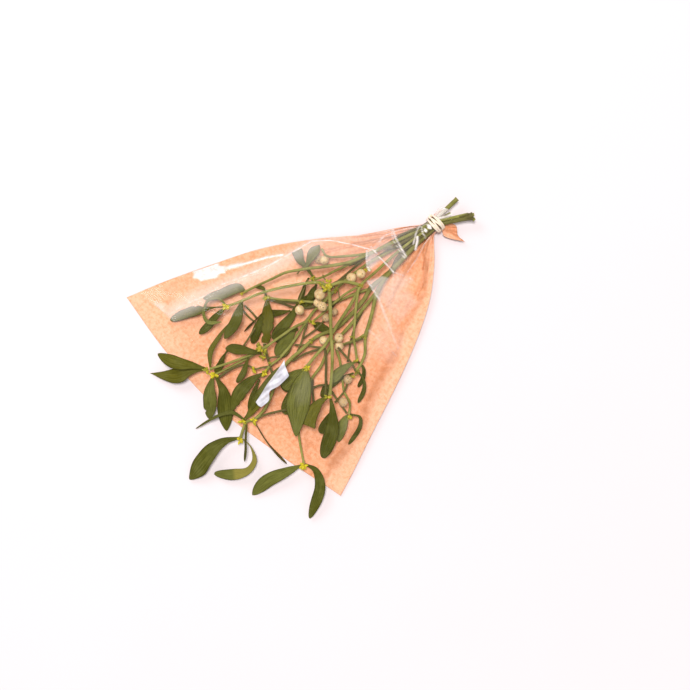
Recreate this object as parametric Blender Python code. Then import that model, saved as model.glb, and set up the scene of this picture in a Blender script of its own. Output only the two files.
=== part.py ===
"""A cut mistletoe bunch in its florist's sleeve, lying on a table.

Four cut stems fork again and again into thin twigs that end in pairs of leathery leaves, with
white berries sitting in the forks. The bunch lies on a sheet of kraft paper, under a front of clear
film, and an elastic band ties sheet, film and stems together near the cut ends.

Everything below is drawn in millimetres from the tie: +X to the right, +Y along the stems towards
their cut ends, +Z up from the table. place() turns that into metres about the middle of the bunch.
"""

import math
from collections import namedtuple

import bmesh
import bpy
from mathutils import Vector

MILLIMETRE = 0.001
MIDDLE = Vector((-17.0, -147.2, 0.0))  # the middle of the bunch's outline, from the tie
GAP = 0.35  # left between two pieces that touch on the real bunch

STEM_SPACING = 9.0  # along a stem, between the rings of its tube
STEM_BEVEL = 2  # bevel resolution: eight sides
TIP_SWELLING = 1.3  # a twig's last joint, against the twig

LEAF_STATIONS = 8
LEAF_THICKNESS = 1.1
LEAF_STALK = 2.2  # the width of the narrow foot of a leaf
WIDEST_AT = 0.657  # the peak of the outline formula in leaf_outline()

BERRY_SEGMENTS = 12
BERRY_RINGS = 8

PAPER_THICKNESS = 0.5
FILM_THICKNESS = 0.3
SHEET_ACROSS = 16
SHEET_ALONG = 22

TIE_CENTRE = Vector((-2.4, 0.0, 9.1))
BAND_RADIUS = 7.75  # of the middle of the band's two turns
BAND_STRAND = 0.6
BAND_WEAVE = 0.75  # how far each turn steps in or out where it crosses the other
BAND_SPREAD = 1.6  # how far the turns lie apart along the stems
BAND_STEPS = 56

Stem = namedtuple("Stem", "radius route")  # radius at its start and at its tip
Leaf = namedtuple("Leaf", "width roll spine keep", defaults=(1.0,))  # keep < 1: the tip is torn off
Berry = namedtuple("Berry", "place diameter")

# Each stem runs from its cut end, or from the fork where it leaves an earlier one, to its last joint.
STEMS = {
    "stem_right": Stem((2.7, 1.2), [
        (17, 30, 11.5), (9, 17, 11), (2.2, 6, 9.8), (-0.3, 0, 9.4), (-1, -12, 9.6), (-1, -28, 11),
        (0, -45, 13), (0.5, -58, 14), (2, -70, 15), (5, -80, 16), (9, -88, 17), (15, -97, 18),
        (21, -107, 18), (26, -116, 18), (31, -122, 18.5), (38, -129, 18.5), (42, -137, 18), (44, -146, 17)]),
    "stem_middle": Stem((1.4, 1.1), [
        (12, 27, 13.5), (6, 17, 13.6), (-0.5, 6, 13.3), (-2.9, 0, 13.0), (-4, -10, 13.2), (-6.5, -30, 15.5),
        (-8, -50, 18.5), (-8.5, -70, 21.5), (-9, -89, 24), (-2.5, -100, 25.5), (5, -109, 25.5), (12, -117, 25),
        (20, -126, 24), (30, -133, 22), (38, -139, 20)]),
    "stem_left": Stem((2.0, 1.1), [
        (-5, 30, 11.5), (-5.2, 15, 11), (-5.6, 0, 10.0), (-8.5, -14, 10.6), (-14, -32, 13), (-19.5, -48, 16),
        (-24, -62, 19), (-31, -81, 23), (-38, -92, 24.5), (-45, -102, 25), (-52, -111, 25), (-57, -118, 24),
        (-65, -130, 22), (-70, -144, 19), (-75, -158, 16), (-78.5, -169, 13)]),
    "stem_low": Stem((1.5, 1.3), [
        (0.5, 17, 6.5), (-1.5, 9, 6.0), (-3.7, 0, 5.6), (-5, -14, 6.2), (-9.5, -34, 8.5), (-14.5, -52, 11),
        (-18.5, -68, 13), (-21, -85, 14), (-22.5, -105, 14), (-22, -120, 13.5), (-22, -135, 13), (-20, -147, 12.5),
        (-17, -160, 12), (-14, -175, 12), (-13, -190, 12), (-14, -198, 12), (-13, -207, 12)]),
    "twig_far_left": Stem((1.3, 0.9), [
        (-24, -62, 19), (-32, -73, 19), (-41, -84, 18), (-47, -90.5, 15.5), (-52, -92.5, 13), (-58, -91, 9.5)]),
    "twig_inner_left": Stem((1.3, 1.0), [
        (-24, -62, 19), (-27.5, -75, 17.5), (-32, -88, 18), (-35.5, -98, 19), (-38, -107, 20), (-42, -115, 20.5)]),
    "twig_sweeping_left": Stem((1.6, 1.2), [
        (-9, -89, 24), (-16, -93, 27), (-23, -99, 30), (-29, -110, 32), (-37, -114.5, 34), (-45, -124, 34),
        (-54, -137, 33), (-62, -150, 31), (-69, -164, 29), (-74.5, -178, 26), (-80, -190, 23)]),
    "twig_sweeping_right": Stem((1.7, 1.4), [
        (-29, -110, 32), (-18, -119, 34), (-7, -129, 35), (4, -139, 35), (16, -149, 34), (28, -161, 32),
        (36, -170, 30), (43, -178, 28)]),
    "twig_middle": Stem((1.6, 1.4), [
        (-9, -89, 24), (-4.5, -102, 21.5), (-1, -115, 20.5), (1.5, -127, 20.5), (4.5, -138, 21.5), (7.5, -150, 22.5),
        (8.5, -163, 23), (10, -177, 22)]),
    "twig_thin_middle": Stem((1.1, 1.0), [
        (-9, -89, 24), (-13, -103, 19.5), (-14.5, -118, 18), (-15, -132, 17), (-16, -145, 16.5)]),
    "twig_long_middle": Stem((2.1, 1.3), [
        (0.5, -58, 14), (-0.5, -72, 12.5), (-1, -84, 11.5), (2, -95, 11), (3.5, -108, 10.5), (4, -122, 10.5),
        (3, -134, 11), (-2, -146, 12), (-4, -155, 13), (-4.5, -170, 13.5), (-5, -186, 13), (-1, -203, 12.5),
        (6, -217, 12), (11, -230, 12), (11.5, -243, 12), (8, -250.5, 12), (11, -258, 11), (15, -265, 10)]),
    "twig_long_right": Stem((1.8, 1.2), [
        (5, -80, 16), (6.5, -92, 13.5), (8, -105, 12.5), (10, -118, 12), (11, -131, 11.5), (11, -144, 11.5),
        (14, -155, 11.5), (18.5, -166, 11.5), (21, -180, 11.5), (27, -197, 11), (38, -213, 10), (50, -224.5, 9.5),
        (62, -233, 9), (72, -239.5, 8.5)]),
    "twig_short_middle": Stem((1.4, 1.0), [
        (-1, -84, 11.5), (-5.5, -94, 10.5), (-10.5, -106, 9.5), (-14, -117, 8.5), (-17, -130, 7.5)]),
    "twig_lower_right": Stem((1.4, 1.0), [
        (26, -116, 18), (24, -126, 15), (19.5, -136, 13.5), (16.5, -144, 13), (25, -149, 11), (34, -155, 10),
        (43, -162, 10), (51, -167.5, 11), (61, -170.5, 12), (68, -178, 12)]),
    "twig_lower_left": Stem((1.3, 1.1), [
        (-20, -147, 12.5), (-24, -160, 18), (-26.5, -175, 19.5), (-29, -190, 19), (-33, -204, 18), (-38, -216, 17),
        (-44, -229, 16), (-50, -241, 15)]),
    "twig_lower_middle": Stem((1.1, 1.0), [
        (-29, -190, 19), (-31.5, -203, 14), (-35, -216, 12.5), (-39, -228, 12), (-43, -241, 12)]),
    "twig_crossing_left": Stem((1.2, 1.0), [
        (-22, -120, 13.5), (-27, -129, 16), (-38, -139, 16.5), (-49, -149, 17), (-60, -157.5, 17.5)]),
}

# Each leaf runs from its foot in a fork to its tip; roll turns the blade about its length, in degrees.
LEAVES = {
    "leaf_01": Leaf(10, (10, 25), [(-43, -114, 21), (-52, -112, 19.5), (-58, -104, 17), (-62, -91, 11)]),
    "leaf_02": Leaf(13, (5, -15), [(-43, -115.5, 19), (-53, -114.5, 17.5), (-63, -112, 15), (-73, -109, 11)]),
    "leaf_03": Leaf(14, (-10, -25), [(-79.5, -168, 13), (-88, -171.5, 13), (-95, -184, 11.5), (-101, -201, 7.5)]),
    "leaf_04": Leaf(12, (-10, -20), [(-82.5, -193, 20), (-91, -204, 12), (-101, -218, 7), (-110, -237, 4)]),
    "leaf_05": Leaf(11, (15, 10), [(-30, -195, 19), (-39, -202, 21), (-47, -209, 18), (-54, -219, 12)]),
    "leaf_06": Leaf(15, (0, 15), [(-13.5, -209, 12), (-16, -222, 14), (-15, -236, 12.5), (-8.5, -253, 10.5)]),
    "leaf_07": Leaf(16, (10, 0), [(-51, -242, 15), (-65, -247, 17), (-80, -255, 14), (-93, -265, 7)]),
    "leaf_08": Leaf(15, (-20, -30), [(-51, -243.5, 13), (-60, -253, 12), (-69, -266, 8.5), (-85, -283, 3)]),
    "leaf_09": Leaf(7, (50, 65), [(-51, -239.5, 16), (-61, -229, 16), (-65.5, -214, 11.5), (-69, -201, 8)]),
    "leaf_10": Leaf(14, (10, 5), [(-43.5, -243, 12), (-37, -252, 13), (-28, -262, 11.5), (-17, -274, 6)]),
    "leaf_11": Leaf(15, (0, -10), [(-42, -242, 10.5), (-28, -246.5, 8), (-15, -256, 6), (1, -270, 3)]),
    "leaf_12": Leaf(8, (80, 85), [(12, -245, 12), (30, -249, 13), (45, -251, 11), (61, -251, 6)]),
    "leaf_13": Leaf(9, (45, 80), [(6, -250.5, 14), (-6, -253, 17), (-12, -260.5, 15), (-16.5, -273, 12), (-20, -289, 6)]),
    "leaf_14": Leaf(8, (60, 65), [(10, -252, 13), (18, -261, 15), (26, -269, 14.5), (33, -277, 12.5)]),
    "leaf_15": Leaf(18, (5, -5), [(14, -266, 9.5), (5, -282, 12), (4, -301, 10), (10, -325, 3)]),
    "leaf_16": Leaf(12, (30, 10), [
        (16.5, -264.5, 9.5), (27, -264, 9), (38, -270, 8.5), (42, -281, 8.5), (35, -294, 7), (20, -305, 3)]),
    "leaf_17": Leaf(19, (-5, 5), [(10.5, -178, 23), (22, -192, 25), (35, -209, 22), (49, -227, 14)]),
    "leaf_18": Leaf(14, (0, 10), [(9.5, -179, 20), (8, -188, 19), (9, -196, 18), (10, -205, 16)]),
    "leaf_19": Leaf(18, (0, -10), [(43, -179, 29), (44, -190, 30), (46, -202, 28.5), (51, -218, 25)], 0.8),
    "leaf_20": Leaf(18, (-5, -15), [(44, -179, 28), (56, -190, 26), (68, -203, 20), (80, -224, 11)]),
    "leaf_21": Leaf(9, (0, 5), [(38, -140, 20), (35, -150, 21.5), (34.5, -159, 20), (36, -169, 18)]),
    "leaf_22": Leaf(6, (20, 30), [(38.5, -139, 18.5), (47, -139.5, 16), (52, -146, 12.5), (56, -155, 9)]),
    "leaf_23": Leaf(6, (30, 40), [(44.5, -145, 18), (55, -148, 17), (62, -154, 13.5), (66.5, -165, 9)]),
    "leaf_24": Leaf(10, (-10, -15), [(68, -179, 11.5), (72, -187, 11.5), (76, -194, 10), (82, -204, 6)]),
    "leaf_25": Leaf(7, (45, 30), [(69, -177.5, 13), (77, -173, 15), (84, -181, 12), (88, -198, 6)]),
    "leaf_26": Leaf(15, (5, 15), [(-59, -159, 17.5), (-50, -168, 17), (-41, -178, 16), (-29, -191, 14)]),
    "leaf_27": Leaf(9, (0, 10), [(-80, -192, 21), (-80.5, -204, 17.5), (-79.5, -215, 14.5), (-80, -227, 10)]),
    "leaf_28": Leaf(7, (40, 60), [
        (-81, -189.5, 24), (-90, -190.5, 20.5), (-94.5, -199, 17), (-90, -209, 18.5), (-81, -212.5, 21), (-73, -203, 21)]),
    "leaf_29": Leaf(16, (-5, -15), [(-75, -178, 25), (-69, -187, 24), (-64, -198, 22), (-60, -212, 18)]),
    "leaf_30": Leaf(13, (0, 10), [(72, -241, 8), (66, -257, 9), (60, -275, 8), (60, -294, 3)]),
    "leaf_31": Leaf(12, (20, 0), [(73, -239, 9), (85, -235.5, 12), (99, -245, 11), (112, -271, 3.5)]),
    "leaf_32": Leaf(13, (10, 10), [(-38, -141, 15), (-34.5, -152, 8.5), (-31, -167, 5.5), (-30, -181, 3.5)]),
}

BERRIES = {
    "berry_01": Berry((-16.5, -81.5, 27), 8.6),
    "berry_02": Berry((-29, -121.5, 25.5), 10.2),
    "berry_03": Berry((-19.5, -127.5, 25), 8.8),
    "berry_04": Berry((-31.5, -144.5, 22), 8.8),
    "berry_05": Berry((11.5, -136.5, 19.5), 8.8),
    "berry_06": Berry((56.5, -174.5, 15.5), 8.6),
    "berry_07": Berry((-49, -96.5, 11.5), 8.6),
    "berry_08": Berry((3.5, -148, 16.5), 8.4),
}

# The underside of the paper, as rows of points across it, from the mouth of the sleeve to its tail.
PAPER_NET = [
    [(-151, -251, 0), (-92, -259.5, 0), (-28, -262, 0), (45, -251.5, 0), (117, -236, 1)],
    [(-137, -215, 0), (-80, -222, 0), (-20, -224, 0), (45, -218, 0), (109, -212, 3)],
    [(-119, -175, 0), (-70, -180, 0), (-15, -182, 0), (40, -178, 0), (96, -176, 4)],
    [(-97, -130, 0), (-55, -133, 0), (-10, -134, 0), (35, -132, 0), (80, -130, 4)],
    [(-70, -90, 1), (-40, -91, 0), (-5, -92, 0), (30, -91, 0), (64, -90, 4)],
    [(-42, -55, 3), (-25, -56, 0.5), (0, -56, 0), (25, -55, 0.5), (46, -55, 5)],
    [(-24, -28, 5.5), (-14, -29, 1.8), (0, -29, 1), (12, -29, 1.8), (25, -28, 5.5)],
    [(-11, -10, 7), (-8, -10.5, 3.6), (-2.4, -11, 2.2), (3, -10.5, 3.6), (6, -10, 7)],
    [(-8.6, -4, 8.4), (-6.8, -4, 4.7), (-2.4, -4, 2.9), (2, -4, 4.7), (3.8, -4, 8.4)],
    [(-8.6, 3, 8.4), (-6.8, 3, 4.7), (-2.4, 3, 2.9), (2, 3, 4.7), (3.8, 3, 8.4)],
    [(-6, 6, 4.2), (-3, 6.5, 3.2), (2, 7, 3), (7, 6, 4.5), (10.5, 2, 7)],
    [(2, 13, 1.2), (7, 14, 1.2), (13, 13, 1.8), (20, 9, 4), (28, 7, 6)],
]

# The underside of the film, in the same way: its long edges lie on the paper's, its middle on the leaves.
FILM_NET = [
    [(-146, -240, 1), (-118, -236, 9), (-75, -234, 26), (-15, -232, 30), (50, -230, 26), (92, -229, 14), (114, -229, 4)],
    [(-130, -200, 1), (-103, -199, 17), (-66, -198, 33), (-12, -196, 36), (50, -196, 33), (84, -196, 19), (104, -197, 4.5)],
    [(-112, -162, 1), (-88, -161, 19), (-55, -160, 36), (-10, -158, 40), (42, -159, 37), (73, -160, 21), (91, -161, 5)],
    [(-90, -118, 1), (-70, -117, 19), (-42, -116, 38), (-10, -115, 39), (32, -116, 31), (60, -117, 15), (74, -118, 5)],
    [(-64, -81, 2), (-53, -80, 18), (-29, -79, 31), (-9, -78, 32), (22, -79, 24), (46, -80, 12), (59, -81, 5)],
    [(-40, -53, 4), (-30, -53, 14), (-20, -52.5, 24), (-7, -52, 25), (12, -52.5, 19), (32, -53, 10), (44, -53, 6)],
    [(-24, -28.5, 7), (-20, -28.5, 13), (-14, -28.5, 18), (-5, -28.5, 19.5), (5, -28.5, 16), (16, -28.5, 10), (24, -28.5, 7)],
    [(-11, -10, 9), (-9.5, -10, 12.5), (-7, -10, 15), (-3, -10, 16), (1.5, -10, 14.5), (4.5, -10, 11.5), (6, -10, 9)],
    [(-8.3, -4, 9.9), (-7.2, -4, 12.4), (-5.2, -4, 14.3), (-2.4, -4, 15.05), (0.4, -4, 14.3), (2.4, -4, 12.4), (3.5, -4, 9.9)],
    [(-8.3, 3, 9.9), (-7.2, 3, 12.4), (-5.2, 3, 14.3), (-2.4, 3, 15.05), (0.4, 3, 14.3), (2.4, 3, 12.4), (3.5, 3, 9.9)],
    [(-9.5, 7, 8), (-8.6, 7, 11), (-6.5, 7.5, 13.5), (-3.2, 8, 15.4), (0, 8, 16), (3, 7, 14.8), (5.5, 6, 13.5)],
    [(-11, 13, 6), (-10, 14, 10), (-7.5, 15.5, 13.6), (-3.5, 17, 16.5), (0.5, 17.5, 17.5), (4.5, 15, 17), (8, 13, 16.5)],
]

LOOKS = {  # colour, roughness
    "stem": ((0.150, 0.150, 0.045), 0.55),
    "leaf": ((0.105, 0.120, 0.028), 0.45),
    "berry": ((0.720, 0.620, 0.390), 0.30),
    "paper": ((0.740, 0.400, 0.225), 0.85),
    "film": ((0.900, 0.920, 0.930), 0.08),
    "band": ((0.800, 0.620, 0.440), 0.60),
}


def clear_scene():
    for thing in list(bpy.data.objects):
        bpy.data.objects.remove(thing)


def look(name):
    """The material of one kind of piece."""
    found = bpy.data.materials.get(name)
    if found:
        return found
    colour, roughness = LOOKS[name]
    made = bpy.data.materials.new(name)
    made.use_nodes = True
    shader = made.node_tree.nodes["Principled BSDF"]
    shader.inputs["Base Color"].default_value = (*colour, 1)
    shader.inputs["Roughness"].default_value = roughness
    return made


def place(point):
    """From millimetres about the tie to metres about the middle of the bunch."""
    return (Vector(point) - MIDDLE) * MILLIMETRE


def through(points, share):
    """A point of the smooth Catmull-Rom curve through these points, share from 0 to 1."""
    spans = len(points) - 1
    i = min(int(share * spans), spans - 1)
    t = share * spans - i
    b, c = Vector(points[i]), Vector(points[i + 1])
    a = Vector(points[i - 1]) if i else 2 * b - c
    d = Vector(points[i + 2]) if i + 2 <= spans else 2 * c - b
    return (2 * b + (c - a) * t + (2 * a - 5 * b + 4 * c - d) * t**2 + (3 * b - a - 3 * c + d) * t**3) / 2


def mix(a, b, share):
    return a + (b - a) * share


def path_of(points, count):
    return [through(points, i / count) for i in range(count + 1)]


def length_of(path):
    return sum((b - a).length for a, b in zip(path, path[1:]))


class Crowd:
    """The pieces made so far, as beads along their middles, so that the next one can start clear of them."""

    def __init__(self):
        self.beads = []

    def add(self, path, radii):
        self.beads += list(zip(path, radii))

    def first_clear(self, path, radii):
        """The index where this path, followed from its fork, comes clear of everything there."""
        for i, (point, radius) in enumerate(zip(path, radii)):
            if all((point - bead).length > radius + thick + GAP for bead, thick in self.beads):
                return i
        raise ValueError("a piece never comes clear of the others")


def add_object(name, mesh, kind):
    made = bpy.data.objects.new(name, mesh)
    made.data.materials.append(look(kind))
    bpy.context.scene.collection.objects.link(made)
    return made


def add_tube(name, path, radii, kind, closed=False):
    """A tube along the path, with its own radius at every point."""
    curve = bpy.data.curves.new(name, "CURVE")
    curve.dimensions = "3D"
    curve.bevel_depth = MILLIMETRE
    curve.bevel_resolution = STEM_BEVEL
    curve.use_fill_caps = not closed
    line = curve.splines.new("POLY")
    line.points.add(len(path) - 1)
    line.use_cyclic_u = closed
    line.use_smooth = True
    for spot, point, radius in zip(line.points, path, radii):
        spot.co = (*place(point), 1)
        spot.radius = radius
    return add_object(name, curve, kind)


def add_stem(name, stem, crowd):
    """One tapering stem or twig, from where it is clear of its fork to its swollen last joint."""
    fine = path_of(stem.route, 24 * len(stem.route))
    radii = [mix(*stem.radius, i / (len(fine) - 1)) for i in range(len(fine))]
    start = crowd.first_clear(fine, radii)
    share = start / (len(fine) - 1)
    count = max(4, round(length_of(fine[start:]) / STEM_SPACING))
    shares = [mix(share, 1, i / count) for i in range(count + 1)]
    path = [through(stem.route, s) for s in shares]
    thick = [mix(*stem.radius, s) for s in shares]
    thick[-1] *= TIP_SWELLING
    crowd.add(fine[start:], radii[start:])
    crowd.add(path[-1:], thick[-1:])
    return add_tube(name, path, thick, "stem")


def leaf_outline(along, width):
    """Half the width of a blade at this share of its length: a narrow foot, widest past the middle, a round tip."""
    blade = along**0.8 * math.sqrt(max(0.0, 1 - along**4)) / WIDEST_AT
    return max(width * blade, LEAF_STALK) / 2


def leaf_ring(leaf, share):
    """Six points round the blade: two at its edges, two on its face and two on its back."""
    step = 0.01
    middle = through(leaf.spine, share)
    ahead = through(leaf.spine, min(1, share + step)) - through(leaf.spine, max(0, share - step))
    side = ahead.cross(Vector((0, 0, 1))).normalized()
    face = side.cross(ahead).normalized()
    roll = math.radians(mix(*leaf.roll, share))
    side, face = (side * math.cos(roll) + face * math.sin(roll), face * math.cos(roll) - side * math.sin(roll))
    half = leaf_outline(min(share * leaf.keep, 0.985), leaf.width)
    for angle in range(0, 360, 60):
        a = math.radians(angle)
        yield middle + side * (half * math.cos(a)) + face * (LEAF_THICKNESS / 2 * math.sin(a))


def add_leaf(name, leaf, crowd):
    """A thin closed blade, lens-shaped across, along its curved spine."""
    fine = path_of(leaf.spine, 100)
    start = crowd.first_clear(fine, [LEAF_STALK / 2] * len(fine)) / 100
    crowd.add(fine[int(100 * start):45], [LEAF_STALK / 2] * 100)
    mesh = bmesh.new()
    rings = []
    for i in range(LEAF_STATIONS + 1):
        share = mix(start, 1, i / LEAF_STATIONS)
        rings.append([mesh.verts.new(place(point)) for point in leaf_ring(leaf, share)])
    for ring, following in zip(rings, rings[1:]):
        for i in range(6):
            j = (i + 1) % 6
            mesh.faces.new((ring[i], ring[j], following[j], following[i]))
    mesh.faces.new(rings[0][::-1])
    mesh.faces.new(rings[-1])
    bmesh.ops.recalc_face_normals(mesh, faces=mesh.faces)
    made = bpy.data.meshes.new(name)
    mesh.to_mesh(made)
    mesh.free()
    made.shade_smooth()
    return add_object(name, made, "leaf")


def add_berry(name, berry):
    mesh = bmesh.new()
    bmesh.ops.create_uvsphere(
        mesh, u_segments=BERRY_SEGMENTS, v_segments=BERRY_RINGS, radius=berry.diameter / 2 * MILLIMETRE)
    made = bpy.data.meshes.new(name)
    mesh.to_mesh(made)
    mesh.free()
    made.shade_smooth()
    berry_object = add_object(name, made, "berry")
    berry_object.location = place(berry.place)
    return berry_object


def add_sheet(name, net, thickness, kind):
    """A thin sheet over a net of points, thickened upwards from its underside."""
    columns = len(net[0])
    mesh = bmesh.new()
    grid = []
    for i in range(SHEET_ALONG + 1):
        row = [through([line[k] for line in net], i / SHEET_ALONG) for k in range(columns)]
        across = [through(row, j / SHEET_ACROSS) for j in range(SHEET_ACROSS + 1)]
        grid.append([mesh.verts.new(place((p.x, p.y, max(p.z, 0)))) for p in across])
    for row, following in zip(grid, grid[1:]):
        for a, b, c, d in zip(row, row[1:], following[1:], following):
            mesh.faces.new((a, b, c, d))
    made = bpy.data.meshes.new(name)
    mesh.to_mesh(made)
    mesh.free()
    made.shade_smooth()
    sheet = add_object(name, made, kind)
    solid = sheet.modifiers.new("thickness", "SOLIDIFY")
    solid.thickness = thickness * MILLIMETRE
    solid.offset = 1
    return sheet


def add_band():
    """The elastic band: one loop wound twice, so that it closes after two turns about the stems."""
    path = []
    for i in range(BAND_STEPS):
        turn = 4 * math.pi * i / BAND_STEPS
        radius = BAND_RADIUS + BAND_WEAVE * math.sin(turn / 2)
        path.append(TIE_CENTRE + Vector((
            radius * math.cos(turn), BAND_SPREAD * math.cos(turn / 2), radius * math.sin(turn))))
    return add_tube("elastic_band", path, [BAND_STRAND] * BAND_STEPS, "band", closed=True)


def build():
    clear_scene()
    crowd = Crowd()
    for name, stem in STEMS.items():
        add_stem(name, stem, crowd)
    for name, leaf in LEAVES.items():
        add_leaf(name, leaf, crowd)
    for name, berry in BERRIES.items():
        add_berry(name, berry)
    add_sheet("kraft_paper_back", PAPER_NET, PAPER_THICKNESS, "paper")
    add_sheet("clear_film_front", FILM_NET, FILM_THICKNESS, "film")
    add_band()


build()
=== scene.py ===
# %% [markdown]
# # A mistletoe bunch in its florist's sleeve
# A cut bunch of mistletoe lies on a table. Brown kraft paper lies under it and a clear film over it, and
# a cream elastic band gathers paper, film and stems near the cut ends. This lesson builds it piece by
# piece around the fixed frame, which says where every stem, leaf and berry is.

import math
from collections import namedtuple

import bpy
import numpy as np
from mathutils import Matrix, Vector, noise


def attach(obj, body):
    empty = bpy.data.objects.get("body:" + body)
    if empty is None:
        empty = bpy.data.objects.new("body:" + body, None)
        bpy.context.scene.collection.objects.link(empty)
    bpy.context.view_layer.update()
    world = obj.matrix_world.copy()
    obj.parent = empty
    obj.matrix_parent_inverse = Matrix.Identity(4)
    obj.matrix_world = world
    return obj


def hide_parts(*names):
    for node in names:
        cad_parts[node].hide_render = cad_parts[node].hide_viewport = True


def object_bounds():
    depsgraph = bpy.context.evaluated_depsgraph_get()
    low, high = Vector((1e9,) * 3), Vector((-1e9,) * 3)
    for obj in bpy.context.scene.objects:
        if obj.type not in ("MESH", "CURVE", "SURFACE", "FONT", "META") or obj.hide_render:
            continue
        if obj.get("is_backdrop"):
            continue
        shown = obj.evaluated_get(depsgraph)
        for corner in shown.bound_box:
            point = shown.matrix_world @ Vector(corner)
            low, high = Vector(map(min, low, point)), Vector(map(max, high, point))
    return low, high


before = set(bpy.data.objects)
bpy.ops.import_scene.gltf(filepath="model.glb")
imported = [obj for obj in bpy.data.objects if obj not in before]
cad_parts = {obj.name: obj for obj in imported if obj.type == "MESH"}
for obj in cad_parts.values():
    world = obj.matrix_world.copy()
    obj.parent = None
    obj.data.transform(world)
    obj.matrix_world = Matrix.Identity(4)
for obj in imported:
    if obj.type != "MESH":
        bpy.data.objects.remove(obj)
cad_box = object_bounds()
cad_size = [round(1000 * side) for side in cad_box[1] - cad_box[0]]
print("frame:", len(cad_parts), "solids,", cad_size, "mm")

# %% [markdown]
# ## Millimetres from the tie
# The bunch is drawn the way a florist would measure it: in millimetres from the elastic band, with X
# across, Y towards the cut ends and Z up from the table. One function turns such a point into metres
# in the frame, whose origin is under the middle of the bunch. Smooth routes through a few points come
# from a Catmull-Rom curve, which passes through each of them.

# %% Points and smooth routes
MILLIMETRE = 0.001
MIDDLE = Vector((-17.0, -147.2, 0.0))


def place(point):
    """From millimetres about the tie to metres in the frame."""
    return (Vector(point) - MIDDLE) * MILLIMETRE


def mix(a, b, share):
    return a + (b - a) * share


def through(points, share):
    """A point of the smooth curve through these points, share from 0 to 1."""
    spans = len(points) - 1
    i = min(int(share * spans), spans - 1)
    t = share * spans - i
    b, c = Vector(points[i]), Vector(points[i + 1])
    a = Vector(points[i - 1]) if i else 2 * b - c
    d = Vector(points[i + 2]) if i + 2 <= spans else 2 * c - b
    bend = 2 * a - 5 * b + 4 * c - d
    twist = 3 * b - a - 3 * c + d
    return (2 * b + (c - a) * t + bend * t**2 + twist * t**3) / 2


def path_of(points, count):
    return [through(points, i / count) for i in range(count + 1)]


def length_of(path):
    return sum((b - a).length for a, b in zip(path, path[1:]))


def linked(name, data):
    """A new object that holds this data, in the scene and at its origin."""
    made = bpy.data.objects.new(name, data)
    bpy.context.scene.collection.objects.link(made)
    return made


print("the tie is at", [round(c, 4) for c in place((0, 0, 0))])

# %% [markdown]
# ## The camera, the light and the table
# The bunch lies flat, so the camera looks straight down on it, turned so that the cut ends point to the
# upper right. A long lens from two metres up keeps the leaves near the lens from growing. The room is
# bright and nearly shadowless: a white surround, a broad soft light overhead and a panel on the left.
# The overhead light isn't mirrored, so that the flat top of the film stays clear to look through.

# %% Camera and lights
VIEW_CENTRE = (20.0, -136.9, 0.0)
VIEW_WIDTH = 0.635
VIEW_HEIGHT = 2.0
VIEW_TURN = math.radians(46)
SURROUND = 0.45
SURROUND_COLOUR = (1.0, 0.985, 0.975, 1)
OVERHEAD = 3.15
OVERHEAD_FROM = (-0.12, 0.05, 1.0)
OVERHEAD_ANGLE = math.radians(14)
PANEL_FROM = (-0.80, 0.10, 0.75)
PANEL_DISTANCE = 1.6
PANEL_SIZE = 0.7
PANEL_POWER = 7.0

camera = linked("camera", bpy.data.cameras.new("camera"))
camera.location = place(VIEW_CENTRE) + Vector((0, 0, VIEW_HEIGHT))
camera.rotation_euler = (0, 0, VIEW_TURN)
camera.data.lens = camera.data.sensor_width * VIEW_HEIGHT / VIEW_WIDTH
bpy.context.scene.camera = camera
bpy.context.scene.view_settings.view_transform = "Standard"


def add_light(name, kind, direction, power):
    """A light that shines from this direction towards the bunch."""
    light = linked(name, bpy.data.lights.new(name, kind))
    light.data.energy = power
    light.rotation_euler = Vector(direction).to_track_quat("Z", "Y").to_euler()
    return light


left_panel = add_light("left_panel", "AREA", PANEL_FROM, PANEL_POWER)
left_panel.data.size = PANEL_SIZE
left_panel.location = Vector(PANEL_FROM).normalized() * PANEL_DISTANCE

overhead = add_light("overhead", "SUN", OVERHEAD_FROM, OVERHEAD)
overhead.data.angle = OVERHEAD_ANGLE
overhead.visible_glossy = False

world = bpy.data.worlds.new("surround")
world.use_nodes = True
background = world.node_tree.nodes["Background"]
background.inputs["Color"].default_value = SURROUND_COLOUR
background.inputs["Strength"].default_value = SURROUND
bpy.context.scene.world = world
print("camera", [round(c, 3) for c in camera.location], "lens", round(camera.data.lens, 1), "mm")

# %% [markdown]
# ## Node graphs as expressions
# Materials and Geometry Nodes are both graphs of nodes. `Graph.add` makes any node from its type, its
# settings and its sockets. `Wire` wraps one output, so that maths on it reads as maths: `1 - mask * 2`
# adds the two Math nodes. `greys` turns a value into a mask between two positions, and `coated` lays one
# colour over another, each by its own mask, as a painter builds up a surface.

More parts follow.
